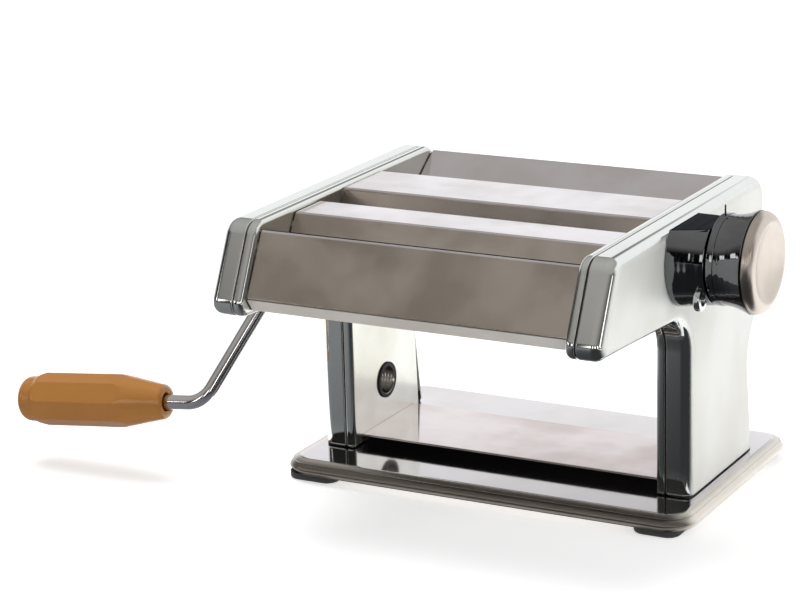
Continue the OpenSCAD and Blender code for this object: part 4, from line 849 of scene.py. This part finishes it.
# nodes inside the housing keep their CAD shapes and get a finish by name
carried = {"bronze": ("bush", "gear"), "guides": ("narrow_combs",), "inside": ("",)}
for name, node in cadNodes.items():
    if node.hide_render:
        continue
    finish = next(f for f, words in carried.items() if any(w in name for w in words))
    for place in node.material_slots:
        place.material = finishes[finish]
print("carried nodes painted")


# stage: white floor, a bench and a room that only the chrome sees, two soft lamps, the photo's camera
def stageObject(name, bm, material):
    mesh = bpy.data.meshes.new(name)
    bm.to_mesh(mesh)
    bm.free()
    mesh.materials.append(material)
    thing = bpy.data.objects.new(name, mesh)
    bpy.context.scene.collection.objects.link(thing)
    return thing


def flatCard(x0, y0, x1, y1, z):
    bm = bmesh.new()
    bm.faces.new([bm.verts.new(p) for p in ((x0, y0, z), (x1, y0, z), (x1, y1, z), (x0, y1, z))])
    return bm


def mirrorOnly(thing):
    thing.visible_camera = thing.visible_diffuse = thing.visible_shadow = False
    thing.visible_transmission = thing.visible_volume_scatter = False


def pageRays(tree):
    # 1 for rays that should meet the white of the page: from the eye, off metal, through glass
    seen = addNode(tree, "ShaderNodeLightPath").outputs
    eye = addNode(tree, "ShaderNodeMath", {0: seen["Is Camera Ray"], 1: seen["Is Glossy Ray"]}, operation="MAXIMUM")
    return addNode(tree, "ShaderNodeMath", {0: eye, 1: seen["Is Transmission Ray"]}, operation="MAXIMUM")


# matt white paint that takes the shadow, lifted for the eye to the white of the page
floor = {"half": 8, "paint": 0.8, "lift": 0.55}
floorPaint, tree = newMaterial("WhitePaintedFloor")
paint = addNode(tree, "ShaderNodeBsdfDiffuse", {"Color": (floor["paint"],) * 3 + (1,)})
lift = addNode(tree, "ShaderNodeMath", {0: pageRays(tree), 1: floor["lift"]}, operation="MULTIPLY")
glow = addNode(tree, "ShaderNodeEmission", {"Strength": lift})
finishWith(floorPaint, "ShaderNodeAddShader", {0: paint, 1: glow})
stageObject("floor", flatCard(-floor["half"], -floor["half"], floor["half"], floor["half"], 0), floorPaint)

# dark bench in front of the machine: a lighter strip under it, and paler towards both ends; each fade gives what
# it follows, where it starts and ends, and the values there
bench = {"tint": "#F4F6FA", "half": 2.6, "far": -2.6, "start": -0.068, "sideX": 0.125, "sideY": -0.012, "z": 0.0008,
         "slant": 0.75, "fades": {"near": ("Y", -0.10, -0.075, 0.0, 0.05), "inFront": ("X", 0.13, 0.10, 0.0, 1.0),
                                  "left": ("X", 0.10, -0.22, 0.04, 0.25), "right": ("slant", 0.32, 0.5, 0.0, 0.9)}}
benchGlow, tree = newMaterial("DarkBenchReflection")
spot = addNode(tree, "ShaderNodeSeparateXYZ", {0: addNode(tree, "ShaderNodeTexCoord").outputs["Object"]}).outputs
slant = addNode(tree, "ShaderNodeMath", {0: spot["Y"], 1: bench["slant"], 2: spot["X"]}, operation="MULTIPLY_ADD")
followed = {"X": spot["X"], "Y": spot["Y"], "slant": slant}
fades = {}
for name, (source, start, end, low, high) in bench["fades"].items():
    fades[name] = addNode(tree, "ShaderNodeMapRange", {"Value": followed[source], "From Min": start, "From Max": end,
                                                       "To Min": low, "To Max": high},
                          interpolation_type="SMOOTHSTEP")
level = addNode(tree, "ShaderNodeMath", {0: fades["near"], 1: fades["inFront"], 2: fades["left"]},
                operation="MULTIPLY_ADD")
level = addNode(tree, "ShaderNodeMath", {0: level, 1: fades["right"]}, operation="ADD")
finishWith(benchGlow, "ShaderNodeEmission", {"Color": bench["tint"], "Strength": level})
mirrorOnly(stageObject("bench", flatCard(-bench["half"], bench["far"], bench["half"], bench["start"], bench["z"]),
                       benchGlow))
mirrorOnly(stageObject("benchSide", flatCard(bench["sideX"], bench["start"], bench["half"], bench["sideY"], bench["z"]),
                       benchGlow))

# room round the object: white sweep behind, dim room in front with a row of windows
room = {"radius": 3.0, "rings": (48, 24), "lowest": -0.2,
        "tones": ((-0.2, "#0A0A0A"), (0.12, "#0E0E0F"), (0.34, "#1A1A1A"), (0.44, "#6E6C6A"), (0.55, "#A5A19D"),
                  (0.75, "#AAA7A4"), (1.0, "#B7B5B2")),
        "panes": 17.0, "glass": (2.5, 2.4, 2.3, 1), "firstBounce": 1.5,
        "sweepLift": (-0.3, 0.1, 0.3),
        "fades": {"behind": ("Y", -0.15, 0.30), "under": ("lower", 0.43, 0.31), "pane": ("pane", 0.1, 0.35),
                  "sill": ("Z", 0.09, 0.12), "head": ("Z", 0.38, 0.35), "front": ("Y", -0.2, -0.4)}}
roomGlow, tree = newMaterial("RoomReflection")
way = addNode(tree, "ShaderNodeVectorMath", {0: addNode(tree, "ShaderNodeTexCoord").outputs["Object"]},
              operation="NORMALIZE")
axis = addNode(tree, "ShaderNodeSeparateXYZ", {0: way}).outputs
around = addNode(tree, "ShaderNodeMath", {0: axis["X"], 1: axis["Y"]}, operation="ARCTAN2")
pane = addNode(tree, "ShaderNodeMath", {0: around, 1: room["panes"]}, operation="MULTIPLY")
pane = addNode(tree, "ShaderNodeMath", {0: pane}, operation="SINE")
start, end, most = room["sweepLift"]  # the sweep stands higher towards the right
higher = addNode(tree, "ShaderNodeMapRange", {"Value": axis["X"], "From Min": start, "From Max": end, "To Max": most},
                 interpolation_type="SMOOTHSTEP")
lower = addNode(tree, "ShaderNodeMath", {0: axis["Z"], 1: higher}, operation="SUBTRACT")
followed = {"Y": axis["Y"], "Z": axis["Z"], "lower": lower, "pane": pane}
fades = {}
for name, (source, start, end) in room["fades"].items():
    fades[name] = addNode(tree, "ShaderNodeMapRange", {"Value": followed[source], "From Min": start, "From Max": end},
                          interpolation_type="SMOOTHSTEP")
height = addNode(tree, "ShaderNodeMapRange", {"Value": axis["Z"], "From Min": room["lowest"]})
rise = addNode(tree, "ShaderNodeValToRGB", {"Fac": height})
ramp = rise.color_ramp
while len(ramp.elements) < len(room["tones"]):
    ramp.elements.new(0.5)
for element, (z, tone) in zip(ramp.elements, room["tones"]):
    element.position = (z - room["lowest"]) / (1 - room["lowest"])
for element, (z, tone) in zip(ramp.elements, room["tones"]):
    element.color = hexLinear(tone)
sweep = addNode(tree, "ShaderNodeMath", {0: fades["behind"], 1: fades["under"]}, operation="MULTIPLY")
shade = addNode(tree, "ShaderNodeMix", {"Factor": sweep, "A": rise, "B": "#FFFFFF"}, data_type="RGBA")
depth = addNode(tree, "ShaderNodeLightPath").outputs["Glossy Depth"]
first = addNode(tree, "ShaderNodeMath", {0: depth, 1: room["firstBounce"]}, operation="LESS_THAN")
lit = fades["pane"]
for factor in (fades["sill"], fades["head"], fades["front"], first):
    lit = addNode(tree, "ShaderNodeMath", {0: lit, 1: factor}, operation="MULTIPLY")
windows = addNode(tree, "ShaderNodeMix", {"Factor": lit, "A": shade, "B": room["glass"]}, data_type="RGBA")
finishWith(roomGlow, "ShaderNodeEmission", {"Color": windows})
roomDome = bmesh.new()
bmesh.ops.create_uvsphere(roomDome, u_segments=room["rings"][0], v_segments=room["rings"][1], radius=room["radius"])
mirrorOnly(stageObject("room", roomDome, roomGlow))

# lamps and sky: plain soft light, the sky full white only where the page is seen
light = {"sky": 0.30, "aim": (0, 0, 0.08),
         "keyLamp": {"place": (-0.5, 0.2, 2.0), "size": 1.2, "watts": 30},
         "fillLamp": {"place": (1.6, -0.4, 0.9), "size": 1.3, "watts": 13}}
world = bpy.data.worlds.new("studioWorld")
bpy.context.scene.world = world
tree = emptyTree(world)
level = addNode(tree, "ShaderNodeMapRange", {"Value": pageRays(tree), "To Min": light["sky"], "To Max": 1.0})
sky = addNode(tree, "ShaderNodeBackground", {"Color": "#FFFFFF", "Strength": level})
addNode(tree, "ShaderNodeOutputWorld", {"Surface": sky})
for name in ("keyLamp", "fillLamp"):
    lamp = bpy.data.lights.new(name, "AREA")
    lamp.size, lamp.energy = light[name]["size"], light[name]["watts"]
    thing = bpy.data.objects.new(name, lamp)
    thing.location = light[name]["place"]
    thing.rotation_euler = (Vector(light["aim"]) - thing.location).to_track_quat("-Z", "Y").to_euler()
    bpy.context.scene.collection.objects.link(thing)
    thing.visible_glossy = False

view = {"place": (0.5174, -1.0826, 0.4253), "back": (0.45951, -0.84464, 0.27467),
        "right": (0.88165, 0.47120, -0.02597), "lens": 121.0, "sensor": 36, "clip": (0.05, 30)}
lens = bpy.data.cameras.new("photoCamera")
lens.sensor_width, lens.lens = view["sensor"], view["lens"]
lens.clip_start, lens.clip_end = view["clip"]
camera = bpy.data.objects.new("photoCamera", lens)
back, right = Vector(view["back"]).normalized(), Vector(view["right"]).normalized()
up = back.cross(right).normalized()
camera.matrix_world = Matrix.Translation(view["place"]) @ Matrix((right, up, back)).transposed().to_4x4()
bpy.context.scene.collection.objects.link(camera)
bpy.context.scene.camera = camera
bpy.context.scene.view_settings.view_transform = "Standard"
print("stage done")

bpy.context.view_layer.update()
